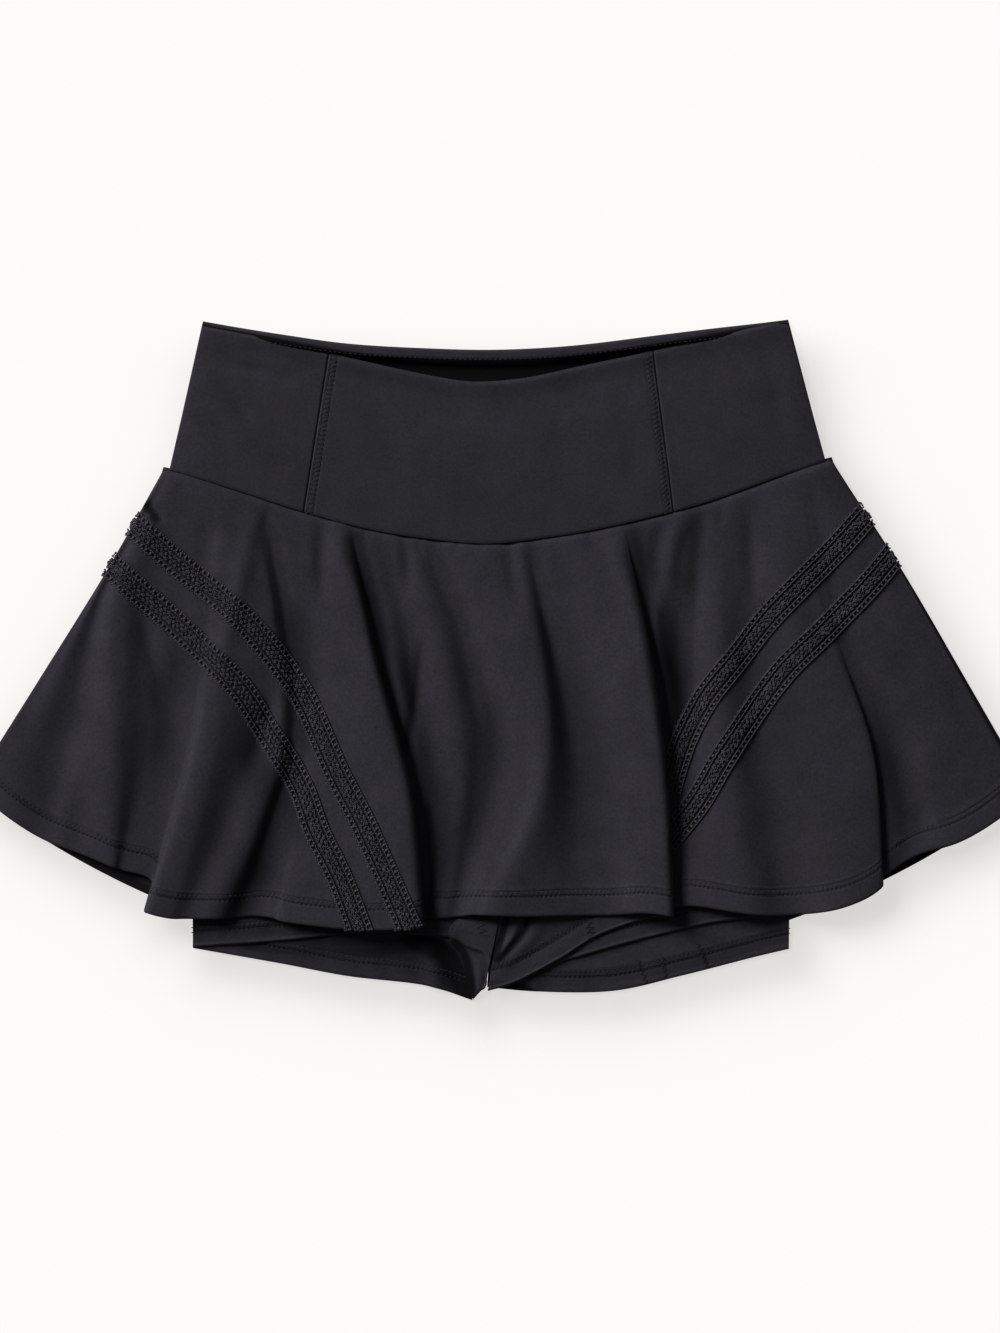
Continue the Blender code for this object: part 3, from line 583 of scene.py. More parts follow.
def through(values, t, gaps=None):
    """Rows at t on the Catmull-Rom curve through rows of values numbered 0, 1, 2 and so on."""
    values = np.asarray(values, float)
    last = len(values) - 1
    gaps = np.ones(last) if gaps is None else np.asarray(gaps, float)
    wide = (slice(None),) + (None,) * (values.ndim - 1)
    runs = (values[1:] - values[:-1]) / gaps[wide]
    inner = runs[:-1] * gaps[1:][wide] + runs[1:] * gaps[:-1][wide]
    inner = inner / (gaps[1:] + gaps[:-1])[wide]
    leans = np.concatenate([runs[:1], inner, runs[-1:]])
    i = np.clip(np.floor(t).astype(int), 0, last - 1)
    s = (t - i)[wide]
    reach = gaps[i][wide]
    start, end = values[i], values[i + 1]
    leave, arrive = leans[i] * reach, leans[i + 1] * reach
    cubic = 2 * start - 2 * end + leave + arrive
    square = 3 * end - 3 * start - 2 * leave - arrive
    return ((cubic * s + square) * s + leave) * s + start


def y_on(curve, x):
    """Height of a curve of x and y points at every x, held level past its ends."""
    xs, ys = np.array(curve, float).T
    slopes = np.empty(len(xs))
    slopes[1:-1] = (ys[2:] - ys[:-2]) / (xs[2:] - xs[:-2])
    slopes[0] = (ys[1] - ys[0]) / (xs[1] - xs[0])
    slopes[-1] = (ys[-1] - ys[-2]) / (xs[-1] - xs[-2])
    x = np.clip(x, xs[0], xs[-1])
    i = np.clip(np.searchsorted(xs, x) - 1, 0, len(xs) - 2)
    width = xs[i + 1] - xs[i]
    s = (x - xs[i]) / width
    ends = (2 * s**3 - 3 * s**2 + 1) * ys[i] + (3 * s**2 - 2 * s**3) * ys[i + 1]
    leans = (s**3 - 2 * s**2 + s) * slopes[i] + (s**3 - s**2) * slopes[i + 1]
    return ends + leans * width


def ease(share):
    """A quarter of an ellipse from 0 to 1."""
    return np.sqrt(1 - (1 - np.clip(share, 0, 1)) ** 2)


def step(low, high, x):
    """Soft step from 0 at low to 1 at high."""
    s = np.clip((x - low) / (high - low), 0, 1)
    return s * s * (3 - 2 * s)


def bump(x, centre, width):
    """Bell of height 1 at the centre."""
    return np.exp(-(((x - centre) / width) ** 2))


def crowded(count, crowd):
    """Shares from 0 to 1 that lie closer together at both ends."""
    even = np.linspace(0, 1, count)
    return even - crowd * np.sin(2 * np.pi * even) / (2 * np.pi)


def between(table, count, crowd=0.0):
    """Rows of a table at count places across it, closer where its lines are close."""
    values = np.array([row[1:] for row in table], float)
    gaps = np.sqrt(np.abs(values[1:] - values[:-1]).mean(axis=1))
    reach = np.concatenate([[0], np.cumsum(gaps)])
    t = np.interp(reach[-1] * crowded(count, crowd), reach, np.arange(len(reach)))
    return through(values, t, gaps)


def rows_down(runs):
    """Shares of the way down a piece at which its rows lie, even within each run."""
    ends = [0, *(end for end, _ in runs)]
    return np.concatenate([
        np.linspace(start, end, count, endpoint=end == ends[-1])
        for start, (end, count) in zip(ends, runs)
    ])


def back_hem_y(x):
    """Hem of the skirt's back, part of a wide circle."""
    return BACK_HEM_Y + BACK_HEM_RADIUS - np.sqrt(BACK_HEM_RADIUS**2 - x**2)


def skirt_waist_z(x):
    """Height of the skirt front's face at the waist, low at the sides."""
    inset = np.where(x < 0, x - SKIRT_FOLDS[0][1], SKIRT_FOLDS[-1][1] - x)
    return SKIRT_SIDE_Z + (SKIRT_WAIST_Z - SKIRT_SIDE_Z) * ease(inset / SKIRT_WAIST_ROLL)


def skirt_front_grid(columns, down):
    """Grid of columns by rows of points on the face of the skirt front."""
    waist, upper, lower, hem, hem_y, upper_z, lower_z, hem_z = between(SKIRT_FOLDS, columns).T
    top_y = y_on(WAIST_SEAM, waist) - SEAM_GAP / 2
    x = through([waist, upper, lower, hem], 3 * down)
    z = through([skirt_waist_z(waist), upper_z, lower_z, hem_z], 3 * down)
    y = top_y + (hem_y - top_y) * down[:, None]
    return np.stack([x, y, z], axis=-1).transpose(1, 0, 2)


def skirt_back_grid(columns, down):
    """Grid of points on the inside of the skirt's back, which lies flat."""
    waist, upper, lower, hem = between(SKIRT_BACK, columns).T
    top_y = y_on(WAIST_SEAM, waist) - SEAM_GAP / 2
    x = through([waist, upper, lower, hem], 3 * down)
    y = top_y + (back_hem_y(hem) - top_y) * down[:, None]
    return np.stack([x, y, np.full_like(x, SKIRT_WALL)], axis=-1).transpose(1, 0, 2)


def band_grid(table, top_curve, columns, down, is_front):
    """Grid of a panel of the waistband, from its top edge down to the waist seam."""
    top_x, seam_x = between(table, columns, EDGE_CROWD).T
    top_y = y_on(top_curve, top_x)
    seam_y = y_on(WAIST_SEAM, seam_x) + SEAM_GAP / 2
    x = top_x + (seam_x - top_x) * down[:, None]
    y = top_y + (seam_y - top_y) * down[:, None]
    z = np.full_like(x, BAND_WALL)
    if is_front:
        right, left = BAND_BACK[0], BAND_BACK[-1]
        side_right = right[1] + (right[2] - right[1]) * down[:, None]
        side_left = left[1] + (left[2] - left[1]) * down[:, None]
        inset = np.minimum(x - side_right, side_left - x)
        dip = through(np.array(BAND_DIP)[:, None], down * (len(BAND_DIP) - 1))
        z = BAND_SIDE_Z + (BAND_MID_Z - BAND_SIDE_Z - dip) * ease(inset / BAND_ROLL)
    return np.stack([x, y, z], axis=-1).transpose(1, 0, 2)


def ply_z(x, y, ply):
    """Height of a ply of the shorts, which steps down to the surface past the skirt's back."""
    past_hem = (back_hem_y(x) - PLY_DROP_START * (1 + ply) - y) / PLY_DROP_LENGTH
    base = SHORTS_BASE_Z * (1 - np.clip(past_hem, 0, 1))
    return base + ply * PLY_STEP + SHORTS_WALL


def shorts_grid(table, ply, columns):
    """Grid of a ply of the shorts, coarse under the skirt and fine along the hem."""
    top_x, top_y, crease_x, crease_y, hem_x, hem_y = between(table, columns, SHORTS_CROWD).T
    share = rows_down(SHORTS_ROWS)[:, None]
    first = np.minimum(share, 1)
    second = np.maximum(share - 1, 0)
    x = top_x + (crease_x - top_x) * first + (hem_x - crease_x) * second
    y = top_y + (crease_y - top_y) * first + (hem_y - crease_y) * second
    return np.stack([x, y, ply_z(x, y, ply)], axis=-1).transpose(1, 0, 2)


def from_hem(grid):
    """Distance of each point of a grid from the hem end of its column."""
    steps = np.linalg.norm(np.diff(grid, axis=1), axis=-1)
    back = np.cumsum(steps[:, ::-1], axis=1)[:, ::-1]
    return np.concatenate([back, np.zeros((len(grid), 1))], axis=1)


def from_top(grid):
    """Distance of each point of a grid from the top end of its column."""
    return from_hem(grid[:, ::-1])[:, ::-1]


def from_side(grid):
    """Distance of each point of a grid from its first column, along its row."""
    return from_top(grid.swapaxes(0, 1)).swapaxes(0, 1)


def row_at(grid, distance, measure):
    """Points at a distance along each column, by a measure such as from_hem."""
    lengths = measure(grid)
    points = []
    for column, length in zip(grid, lengths):
        order = np.argsort(length)
        points.append([np.interp(distance, length[order], column[order, k]) for k in range(3)])
    return np.array(points)


def roll_edge(grid, distance, edge=SEAM_EDGE):
    """Turns an edge down softly, by the distance of each point from it."""
    depth, reach = edge
    grid[..., 2] -= depth * np.exp(-((distance / reach) ** 2))


def tuck_under(grid, drop):
    """Carries the seam edge of the skirt past the seam, under the band or over its inside."""
    share = np.exp(-((from_top(grid) / TUCK_REACH) ** 2))
    grid[..., 1] += TUCK_OVERLAP * share
    grid[..., 2] -= drop * share


def turned_hem(grid, lift, turn, rows, lip=0.0):
    """Lifts the doubled cloth of a hem, presses its stitching rows in and finishes its edge."""
    distance = from_hem(grid)
    grid[..., 2] += lift * step(turn + HEM_TURN_SOFTNESS, turn - HEM_TURN_SOFTNESS, distance)
    for row in rows:
        grid[..., 2] -= STITCH_GROOVE * bump(distance, row, GROOVE_WIDTH)
    grid[..., 2] += lip * bump(distance, HEM_LIP_INSET, HEM_LIP_INSET)
    roll_edge(grid, distance, HEM_EDGE)


def row_shade(grid, rows):
    """Shade in the furrows of a hem's stitching rows."""
    distance = from_hem(grid)
    shade = np.zeros(grid.shape[:2])
    for row in rows:
        shade += ROW_SHADE * bump(distance, row, ROW_REACH)
    return shade


def keep_clear(grid):
    """Eases the skirt front up where it would sink into the shorts under it."""
    x, y, z = np.moveaxis(grid, -1, 0)
    over_shorts = step(*SHORTS_SIDES[0], x) * step(*SHORTS_SIDES[1], x)
    over_fold = step(*FOLD_SIDES[0], x) * step(*FOLD_SIDES[1], x) * step(*FOLD_TOP, y)
    lowest = LOWEST_OUTSIDE + (LOWEST_OVER_SHORTS - LOWEST_OUTSIDE) * over_shorts
    lowest = lowest + (LOWEST_OVER_FOLD - LOWEST_OVER_SHORTS) * over_fold * over_shorts
    over = z - lowest
    grid[..., 2] = lowest + (over + np.sqrt(over**2 + LOWEST_ROUNDING)) / 2


def near_path(grid, path):
    """Each point's plan distance from a path, share along it, and side: 1 left of it, -1 right."""
    path = np.array(path, float)
    fine = through(path, np.linspace(0, len(path) - 1, PATH_STEPS * (len(path) - 1) + 1))
    best = np.full(grid.shape[:2], np.inf)
    share = np.zeros(grid.shape[:2])
    side = np.zeros(grid.shape[:2])
    for i in range(len(fine) - 1):
        run = fine[i + 1] - fine[i]
        reach = grid[..., :2] - fine[i]
        t = np.clip((reach @ run) / (run @ run), 0, 1)
        distance = np.linalg.norm(reach - t[..., None] * run, axis=-1)
        closer = distance < best
        best = np.where(closer, distance, best)
        share = np.where(closer, (i + t) / (len(fine) - 1), share)
        side = np.where(closer, np.sign(run[0] * reach[..., 1] - run[1] * reach[..., 0]), side)
    return best, share, side


def crease(grid, creases):
    """Presses soft troughs, and ridges where the depth is negative, into a grid."""
    for _, path, width, depth in creases:
        distance, share, _ = near_path(grid, path)
        taper = np.sin(np.pi * np.clip(share, CREASE_END, 1 - CREASE_END)) ** CREASE_TAPER
        grid[..., 2] -= depth * taper * bump(distance, 0, width)


def raise_flap(grid):
    """Lifts the part of the crotch flap that curls over, on one side of its bright edge."""
    distance, _, side = near_path(grid, FLAP_CURL)
    below_skirt = step(*FLAP_TOP, grid[..., 1])
    grid[..., 2] += FLAP_STEP * step(*FLAP_RISE, distance * side) * below_skirt
    outer = np.linspace(1, 0, len(grid))[:, None] ** 2
    grid[..., 0] -= FLAP_OVERLAP * outer * below_skirt * step(*FLAP_FOOT, grid[..., 1])


def painted_shade_of(grid, name):
    """Painted shade at each point of a piece, from 0 to 1, in its hollows and valleys."""
    light = np.ones(grid.shape[:2])
    for path, width, strength in RECESSES.get(name, []):
        light *= 1 - strength * step(width, width * RECESS_CORE, near_path(grid, path)[0])
    for path, width, strength in VALLEYS.get(name, []):
        distance, share, _ = near_path(grid, path)
        ends = step(0, VALLEY_FADE, share) * step(1, 1 - VALLEY_FADE, share)
        light *= 1 - strength * ends * step(width, 0, distance)
    return 1 - light


def lace_shade(grid):
    """Shade on the cloth that lies under the strips of lace."""
    shade = np.zeros(grid.shape[:2])
    left_of_fold = near_path(grid, LACE_FOLD)[2]
    for name, path in LACE_PATHS.items():
        distance, share, _ = near_path(grid, path)
        under = step(LACE_WIDTH / 2, LACE_WIDTH / 2 - LACE_SHADE_EDGE, distance)
        under *= step(0, LACE_END, share) * step(1, 1 - LACE_END, share)
        if name.endswith("left"):
            under *= left_of_fold
        shade = np.maximum(shade, LACE_SHADE * under)
    return shade


def raise_hem(grid):
    """Draws the hem up a little where the laid cloth is gathered."""
    share = np.clip(1 - from_hem(grid) / HEM_RISE_REACH, 0, 1) ** HEM_RISE_POWER
    rise = sum(height * bump(grid[..., 0], x, width) for x, width, height in HEM_RISES)
    grid[..., 1] += rise * share


def waver(grid, wavers):
    """Slight unevenness of laid cloth, of several sizes."""
    flat = grid.reshape(-1, 3)
    for size, height, seed in wavers:
        lift = [noise.noise(Vector((x / size, y / size, seed))) for x, y, _ in flat]
        grid[..., 2] += height * np.array(lift).reshape(grid.shape[:2])


# ---------------------------------------------------------------- meshes


def grid_faces(columns, rows):
    """Squares between points numbered down each column, one column after another."""
    index = np.arange(columns * rows).reshape(columns, rows)
    corners = (index[:-1, :-1], index[:-1, 1:], index[1:, 1:], index[1:, :-1])
    return np.stack(corners, axis=-1).reshape(-1, 4)


def put(name, data):
    """A new object at the origin of the scene."""
    made = bpy.data.objects.new(name, data)
    bpy.context.scene.collection.objects.link(made)
    return made


def store(mesh, key, values, kind="FLOAT", field="value"):
    """Keeps a number or a vector at every point of a mesh."""
    mesh.attributes.new(key, kind, "POINT").data.foreach_set(field, np.ravel(values))


def cloth_mesh(name, grid, wall, material, painted_shade):
    """A wall of cloth under a grid, with a UV map in metres along and across it."""
    grid[..., 2] = np.maximum(grid[..., 2], wall)
    columns, rows = grid.shape[:2]
    faces = grid_faces(columns, rows)
    mesh = bpy.data.meshes.new(name)
    mesh.from_pydata((grid.reshape(-1, 3) * MM).tolist(), [], faces.tolist())
    across = np.zeros((columns, rows))
    across[1:] = np.cumsum(np.linalg.norm(np.diff(grid, axis=0), axis=-1), axis=0)
    across -= across[columns // 2]
    place = np.stack([across, from_top(grid)], axis=-1).reshape(-1, 2) * MM
    layer = mesh.uv_layers.new(name="cloth")
    layer.data.foreach_set("uv", place[faces.ravel()].ravel())
    # Painted shade, from 0 to 1, that darkens the cloth's colour at each point.
    store(mesh, "painted_shade", painted_shade)
    mesh.shade_smooth()
    mesh.materials.append(material)
    piece = put(name, mesh)
    thickness = piece.modifiers.new("wall", "SOLIDIFY")
    thickness.thickness = wall * MM
    thickness.offset = -1
    return piece


def settle(piece, node):
    """The piece rides on the garment and stands for its node, which it hides."""
    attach(piece, "root")
    if node:
        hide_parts(node)


# ---------------------------------------------------------------- materials


def socket(group, name, kind, way, value=None):
    """An input or output of a node group."""
    made = group.interface.new_socket(name=name, in_out=way, socket_type=kind)
    if value is not None:
        made.default_value = value


def face_group(name, inputs):
    """A shader group for the face of a cloth or yarn, its inputs given and its outputs empty."""
    group = bpy.data.node_groups.new(name, "ShaderNodeTree")
    for label, value in inputs.items():
        kind = "NodeSocketColor" if isinstance(value, tuple) else "NodeSocketFloat"
        socket(group, label, kind, "INPUT", value)
    socket(group, "Color", "NodeSocketColor", "OUTPUT")
    socket(group, "Height", "NodeSocketFloat", "OUTPUT")
    given = group.nodes.new("NodeGroupInput").outputs
    return group, given, group.nodes.new("NodeGroupOutput").inputs


def maths_in(group):
    """Maker of maths nodes in a group, which take numbers and outputs."""

    def made(kind, *values):
        """The outcome of one kind of sum on the values."""
        node = group.nodes.new("ShaderNodeMath")
        node.operation = kind
        for target, value in zip(node.inputs, values):
            if isinstance(value, bpy.types.NodeSocket):
                group.links.new(value, target)
            else:
                target.default_value = value
        return node.outputs[0]

    return made


def weighted(maths, *terms):
    """Sum of outputs, each times its weight."""
    total, *others = [maths("MULTIPLY", value, weight) for value, weight in terms]
    for other in others:
        total = maths("ADD", total, other)
    return total


def mottled(group, where, **values):
    """Noise over the surface, with the values given to its inputs."""
    texture = group.nodes.new("ShaderNodeTexNoise")
    for key, value in values.items():
        texture.inputs[key].default_value = value
    group.links.new(where, texture.inputs["Vector"])
    return texture.outputs[0]


def dyed(group, color, shade):
    """A colour made lighter or darker by a number."""
    mix = group.nodes.new("ShaderNodeMix")
    mix.data_type = "RGBA"
    mix.blend_type = "MULTIPLY"
    mix.inputs["Factor"].default_value = 1.0
    group.links.new(color, mix.inputs["A"])
    group.links.new(shade, mix.inputs["B"])
    return mix.outputs["Result"]


def jersey_group():
    """Jersey face: small V stitches, soft mottling and fuzz, and painted shade in hollows."""
    inputs = {"Shade": (0.02, 0.02, 0.024, 1), "Wales": 2200.0, "Mottle": 0.12}
    group, given, out = face_group("jersey_face", inputs)
    nodes, links = group.nodes, group.links
    maths = maths_in(group)

    uv = nodes.new("ShaderNodeUVMap")
    uv.uv_map = "cloth"
    place = nodes.new("ShaderNodeSeparateXYZ")
    links.new(uv.outputs[0], place.inputs[0])
    turn = 2 * math.pi
    wale = maths("FRACT", maths("MULTIPLY", place.outputs[0], given["Wales"]))
    lean = maths("ABSOLUTE", maths("SUBTRACT", wale, 0.5))
    rows = maths("MULTIPLY", place.outputs[1], given["Wales"])
    course = maths("MULTIPLY", rows, COURSES_PER_WALE)
    loop = maths("SINE", maths("MULTIPLY", maths("ADD", course, lean), turn))
    leg = maths("ABSOLUTE", maths("SINE", maths("MULTIPLY", wale, turn)))
    stitch = maths("MULTIPLY", maths("ADD", maths("MULTIPLY", loop, 0.35), 0.65), leg)

    where = nodes.new("ShaderNodeTexCoord").outputs
    fuzz = mottled(group, where["Object"], Scale=1600.0, Detail=3.0)
    cloud = mottled(group, where["Object"], Scale=45.0, Detail=5.0, Roughness=0.62)
    pilling = mottled(group, where["Object"], Scale=640.0, Detail=2.0)
    height = weighted(maths, (stitch, 0.6), (fuzz, 0.7), (pilling, 1.2))
    tone = weighted(maths, (fuzz, 0.6), (stitch, 0.3), (pilling, 2.6), (cloud, 2.2))
    uneven = maths("MULTIPLY", maths("SUBTRACT", tone, MEAN_TONE), given["Mottle"])

    # Painted shade: the stored share darkens the colour of the faces that point up.
    painted_shade = nodes.new("ShaderNodeAttribute")
    painted_shade.attribute_name = "painted_shade"
    facing = nodes.new("ShaderNodeSeparateXYZ")
    links.new(where["Normal"], facing.inputs[0])
    upward = maths("GREATER_THAN", facing.outputs[2], 0.0)
    lost = maths("MULTIPLY", maths("MULTIPLY", painted_shade.outputs["Fac"], PAINTED_SHADE_LOSS), upward)
    shade = maths("MULTIPLY", maths("ADD", uneven, 1.0), maths("SUBTRACT", 1.0, lost))
    links.new(dyed(group, given["Shade"], shade), out["Color"])
    links.new(height, out["Height"])
    return group


def yarn_group():
    """Spun yarn: fine slanting plies with fuzz, the same on every side of a strand."""
    inputs = {"Shade": (0.03, 0.03, 0.036, 1), "Plies": 2600.0, "Mottle": 0.25}
    group, given, out = face_group("spun_yarn", inputs)
    maths = maths_in(group)
    where = group.nodes.new("ShaderNodeTexCoord").outputs["Object"]
    plies = group.nodes.new("ShaderNodeTexWave")
    plies.wave_type = "BANDS"
    plies.bands_direction = "DIAGONAL"
    plies.inputs["Distortion"].default_value = 3.0
    group.links.new(where, plies.inputs["Vector"])
    group.links.new(given["Plies"], plies.inputs["Scale"])
    fuzz = mottled(group, where, Scale=420.0, Detail=4.0)
    spread = maths("MULTIPLY", maths("SUBTRACT", fuzz, 0.5), 4.0)
    shade = maths("MULTIPLY_ADD", spread, given["Mottle"], 1.0)
    group.links.new(dyed(group, given["Shade"], shade), out["Color"])
    group.links.new(plies.outputs["Fac"], out["Height"])
    return group


def finish_of(name, group, inputs, relief, roughness, specular):
    """A material with a group's colour and relief. Relief: its strength, and its depth."""
    material = bpy.data.materials.new(name)
    material.use_nodes = True
    nodes, links = material.node_tree.nodes, material.node_tree.links
    shader = nodes["Principled BSDF"]
    face = nodes.new("ShaderNodeGroup")
    face.node_tree = group
    for key, value in inputs.items():
        face.inputs[key].default_value = value
    raised = nodes.new("ShaderNodeBump")
    raised.inputs["Strength"].default_value = relief[0]
    raised.inputs["Distance"].default_value = relief[1] * MM
    links.new(face.outputs["Height"], raised.inputs["Height"])
    links.new(face.outputs["Color"], shader.inputs["Base Color"])
    links.new(raised.outputs[0], shader.inputs["Normal"])
    shader.inputs["Roughness"].default_value = roughness
    shader.inputs["Specular IOR Level"].default_value = specular
    return material


def jersey(name, shade, wales, mottle, depth):
    """Knit cloth with that many columns of stitches to the metre."""
    inputs = {"Shade": (*shade, 1), "Wales": wales, "Mottle": mottle}
    return finish_of(name, JERSEY, inputs, (0.6, depth), 0.88, 0.12)


def yarn(name, shade, plies, mottle):
    """Spun thread with that many plies to the metre."""
    inputs = {"Shade": (*shade, 1), "Plies": plies, "Mottle": mottle}
    return finish_of(name, YARN, inputs, (0.5, 0.08), 0.85, 0.15)


YARN = yarn_group()
JERSEY = jersey_group()
SKIRT_CLOTH = jersey("skirt_jersey", (0.0322, 0.0306, 0.0380), 2200, 0.28, 0.12)
BAND_CLOTH = jersey("band_double_knit", (0.0318, 0.0302, 0.0374), 2400, 0.24, 0.10)
SHORTS_CLOTH = jersey("shorts_jersey", (0.0318, 0.0302, 0.0374), 2200, 0.28, 0.12)
LACE_COTTON = yarn("lace_cotton", (0.0560, 0.0535, 0.0640), 2600, 0.34)
THREAD = yarn("thread", (0.0380, 0.0362, 0.0435), 4200, 0.20)


# ---------------------------------------------------------------- the garment


def make_skirt_front():
    """The flared front with its folds, gathers and doubled hem."""
    grid = skirt_front_grid(SKIRT_COLUMNS, rows_down(SKIRT_ROWS))
    crease(grid, FRONT_CREASES)
    waver(grid, SKIRT_WAVERS)
    keep_clear(grid)
    raise_hem(grid)
    turned_hem(grid, HEM_LIFT, HEM_TURN, HEM_ROWS)
    tuck_under(grid, SEAM_TUCK)
    painted_shade = np.maximum(painted_shade_of(grid, "skirt_front"), lace_shade(grid))
    piece = cloth_mesh("skirt_front_cloth", grid, SKIRT_WALL, SKIRT_CLOTH, painted_shade)
    settle(piece, "skirt_front")
    return piece, grid


def make_skirt_back():
    """The flat back, whose inside shows at both ends of the hem."""
    grid = skirt_back_grid(SKIRT_BACK_COLUMNS, crowded(SKIRT_BACK_ROWS, EDGE_CROWD))
    crease(grid, BACK_CREASES)
    turned_hem(grid, BACK_HEM_LIFT, HEM_TURN, HEM_ROWS)
    tuck_under(grid, -BACK_SEAM_STEP)
    painted_shade = painted_shade_of(grid, "skirt_back")
    piece = cloth_mesh("skirt_back_cloth", grid, SKIRT_WALL, SKIRT_CLOTH, painted_shade)
    settle(piece, "skirt_back")
    return piece, grid


def finish_band_edges(grid, name):
    """Rolls the top edge and the seams in and presses the topstitching beside the seams."""
    roll_edge(grid, from_top(grid), BAND_TOP_EDGE)
    roll_edge(grid, from_hem(grid), BAND_SEAM_EDGE)
    right, left = from_side(grid), from_side(grid[::-1])[::-1]
    if not name.endswith("left"):
        roll_edge(grid, left)
    if not name.endswith("right"):
        roll_edge(grid, right)
    if name.endswith("center"):
        for side in (right, left):
            for row in TOPSTITCH_ROWS:
                grid[..., 2] -= TOPSTITCH_GROOVE * bump(side, row, GROOVE_WIDTH)


def raise_back_rim(grid):
    """Raises the elastic rim inside the back band; returns the painted shade behind the front."""
    right, left = BAND_BACK[0], BAND_BACK[-1]
    distance = from_top(grid)
    x = grid[..., 0]
    inset = np.minimum(x - right[1], left[1] - x)
    rim = step(BACK_RIM[1], BACK_RIM[0], distance) * step(0, BACK_RIM_SIDES, inset)
    grid[..., 2] += BACK_RIM_LIFT * rim
    grid[..., 2] -= STITCH_GROOVE * bump(distance, BACK_STITCH_INSET, GROOVE_WIDTH)
    roll_edge(grid, distance, BACK_TOP_EDGE)
    opening = BACK_DARK_SHARE * (y_on(BACK_TOP, x) - y_on(FRONT_TOP, x))
    start = np.clip(opening, *BACK_DARK_START)
    reach = np.clip(opening, *BACK_DARK_REACH)
    past_front = step(*BACK_DARK_END, near_path(grid, FRONT_TOP)[0])
    return BACK_DARK * step(start, start + reach, distance) * past_front


def make_bands():
    """The four panels of the waistband."""
    down = crowded(BAND_ROWS, EDGE_CROWD)
    pieces = {}
    for name, table, curve, columns, is_front in (
        ("waistband_back", BAND_BACK, BACK_TOP, 130, False),
        ("waistband_front_right", BAND_FRONT_RIGHT, FRONT_TOP, 80, True),
        ("waistband_front_center", BAND_FRONT_CENTER, FRONT_TOP, 160, True),
        ("waistband_front_left", BAND_FRONT_LEFT, FRONT_TOP, 80, True),
    ):
        grid = band_grid(table, curve, columns, down, is_front)
        if is_front:
            crease(grid, BAND_CREASES)
            waver(grid, BAND_WAVERS)
            finish_band_edges(grid, name)
            painted_shade = np.zeros(grid.shape[:2])
        else:
            painted_shade = raise_back_rim(grid)
        piece = cloth_mesh(f"{name}_cloth", grid, BAND_WALL, BAND_CLOTH, painted_shade)
        settle(piece, name)
        pieces[name] = (piece, grid)
    return pieces


def make_shorts():
    """The plies of the shorts that show below the skirt, with their turned hems."""
    pieces = {}
    for name, table, ply, columns, lip, rows in (
        ("shorts_back_right", SHORTS_BACK_RIGHT, 0, 84, 0.0, SHORTS_HEM_ROWS),
        ("shorts_back_left", SHORTS_BACK_LEFT, 0, 84, 0.0, SHORTS_HEM_ROWS),
        ("shorts_front_right", SHORTS_FRONT_RIGHT, 1, 72, HEM_LIP, SHORTS_HEM_ROWS),
        ("shorts_front_left", SHORTS_FRONT_LEFT, 1, 72, HEM_LIP, SHORTS_HEM_ROWS),
        ("shorts_gusset", SHORTS_GUSSET, 1, 34, 0.0, ()),
        ("shorts_front_left_fold", SHORTS_FRONT_LEFT_FOLD, 2, 70, HEM_LIP, FOLD_HEM_ROWS),
    ):
        grid = shorts_grid(table, ply, columns)
        crease(grid, SHORTS_CREASES[name])
        if name == "shorts_gusset":
            raise_flap(grid)
        lift = SHORTS_HEM_LIFT if rows else 0.0
        turned_hem(grid, lift, max(rows, default=0) + SHORTS_TURN_PAST_ROWS, rows, lip)
        painted_shade = np.maximum(painted_shade_of(grid, name), row_shade(grid, rows))
        piece = cloth_mesh(f"{name}_cloth", grid, SHORTS_WALL, SHORTS_CLOTH, painted_shade)
        settle(piece, name)
        pieces[name] = (piece, grid)
    return pieces


# ---------------------------------------------------------------- lace


# The parts of the lace: chain rails, rungs between a pair of rails, knots on the rails, rosettes
# down the middle, links beside them, and scallops outside the lower edge.
RAIL, RUNG, KNOT, ROSETTE, LINK, SCALLOP = range(6)


def surface_of(grid):
    """Search tree of the face of a grid."""
    faces = grid_faces(*grid.shape[:2])
    return BVHTree.FromPolygons(grid.reshape(-1, 3).tolist(), faces.tolist())


def blur(values, reach):
    """Gaussian blur down the first axis, its ends held."""
    steps = np.arange(-3 * reach, 3 * reach + 1)
    weights = np.exp(-0.5 * (steps / reach) ** 2)
    weights /= weights.sum()
    padded = np.pad(values, ((3 * reach, 3 * reach), (0, 0)), mode="edge")
    return np.stack([np.convolve(column, weights, "valid") for column in padded.T], axis=1)


def stations_along(path):
    """Even places along a path of x and y, from a little before its start, and its directions."""
    path = np.array(path, float)
    fine = through(path, np.linspace(0, len(path) - 1, RIBBON_STEPS * len(path)))
    outward = fine[0] - fine[RIBBON_AIM]
    outward /= np.linalg.norm(outward)
    fine = np.concatenate([[fine[0] + outward * LACE_OVERHANG], fine])
    reach = np.concatenate([[0], np.cumsum(np.linalg.norm(np.diff(fine, axis=0), axis=1))])
    stations = np.arange(0, reach[-1], LACE_STATION)
    middle = np.stack([np.interp(stations, reach, fine[:, k]) for k in range(2)], axis=1)
    ahead = np.gradient(middle, axis=0)
    ahead /= np.linalg.norm(ahead, axis=1)[:, None]
    return stations, middle, ahead


def turn_down(line, first):
    """Bends the start of a line of places, from its first one on the cloth, down over the side."""
    edge = line[first].copy()
    for i in range(first):
        out = line[i, :2] - edge[:2]
        past = np.linalg.norm(out)
        line[i, :2] = edge[:2] + out / past * LACE_DROP * (1 - math.exp(-past / LACE_DROP))
        line[i, 2] = max(LACE_LOWEST, edge[2] - max(0.0, past - LACE_DROP_START))


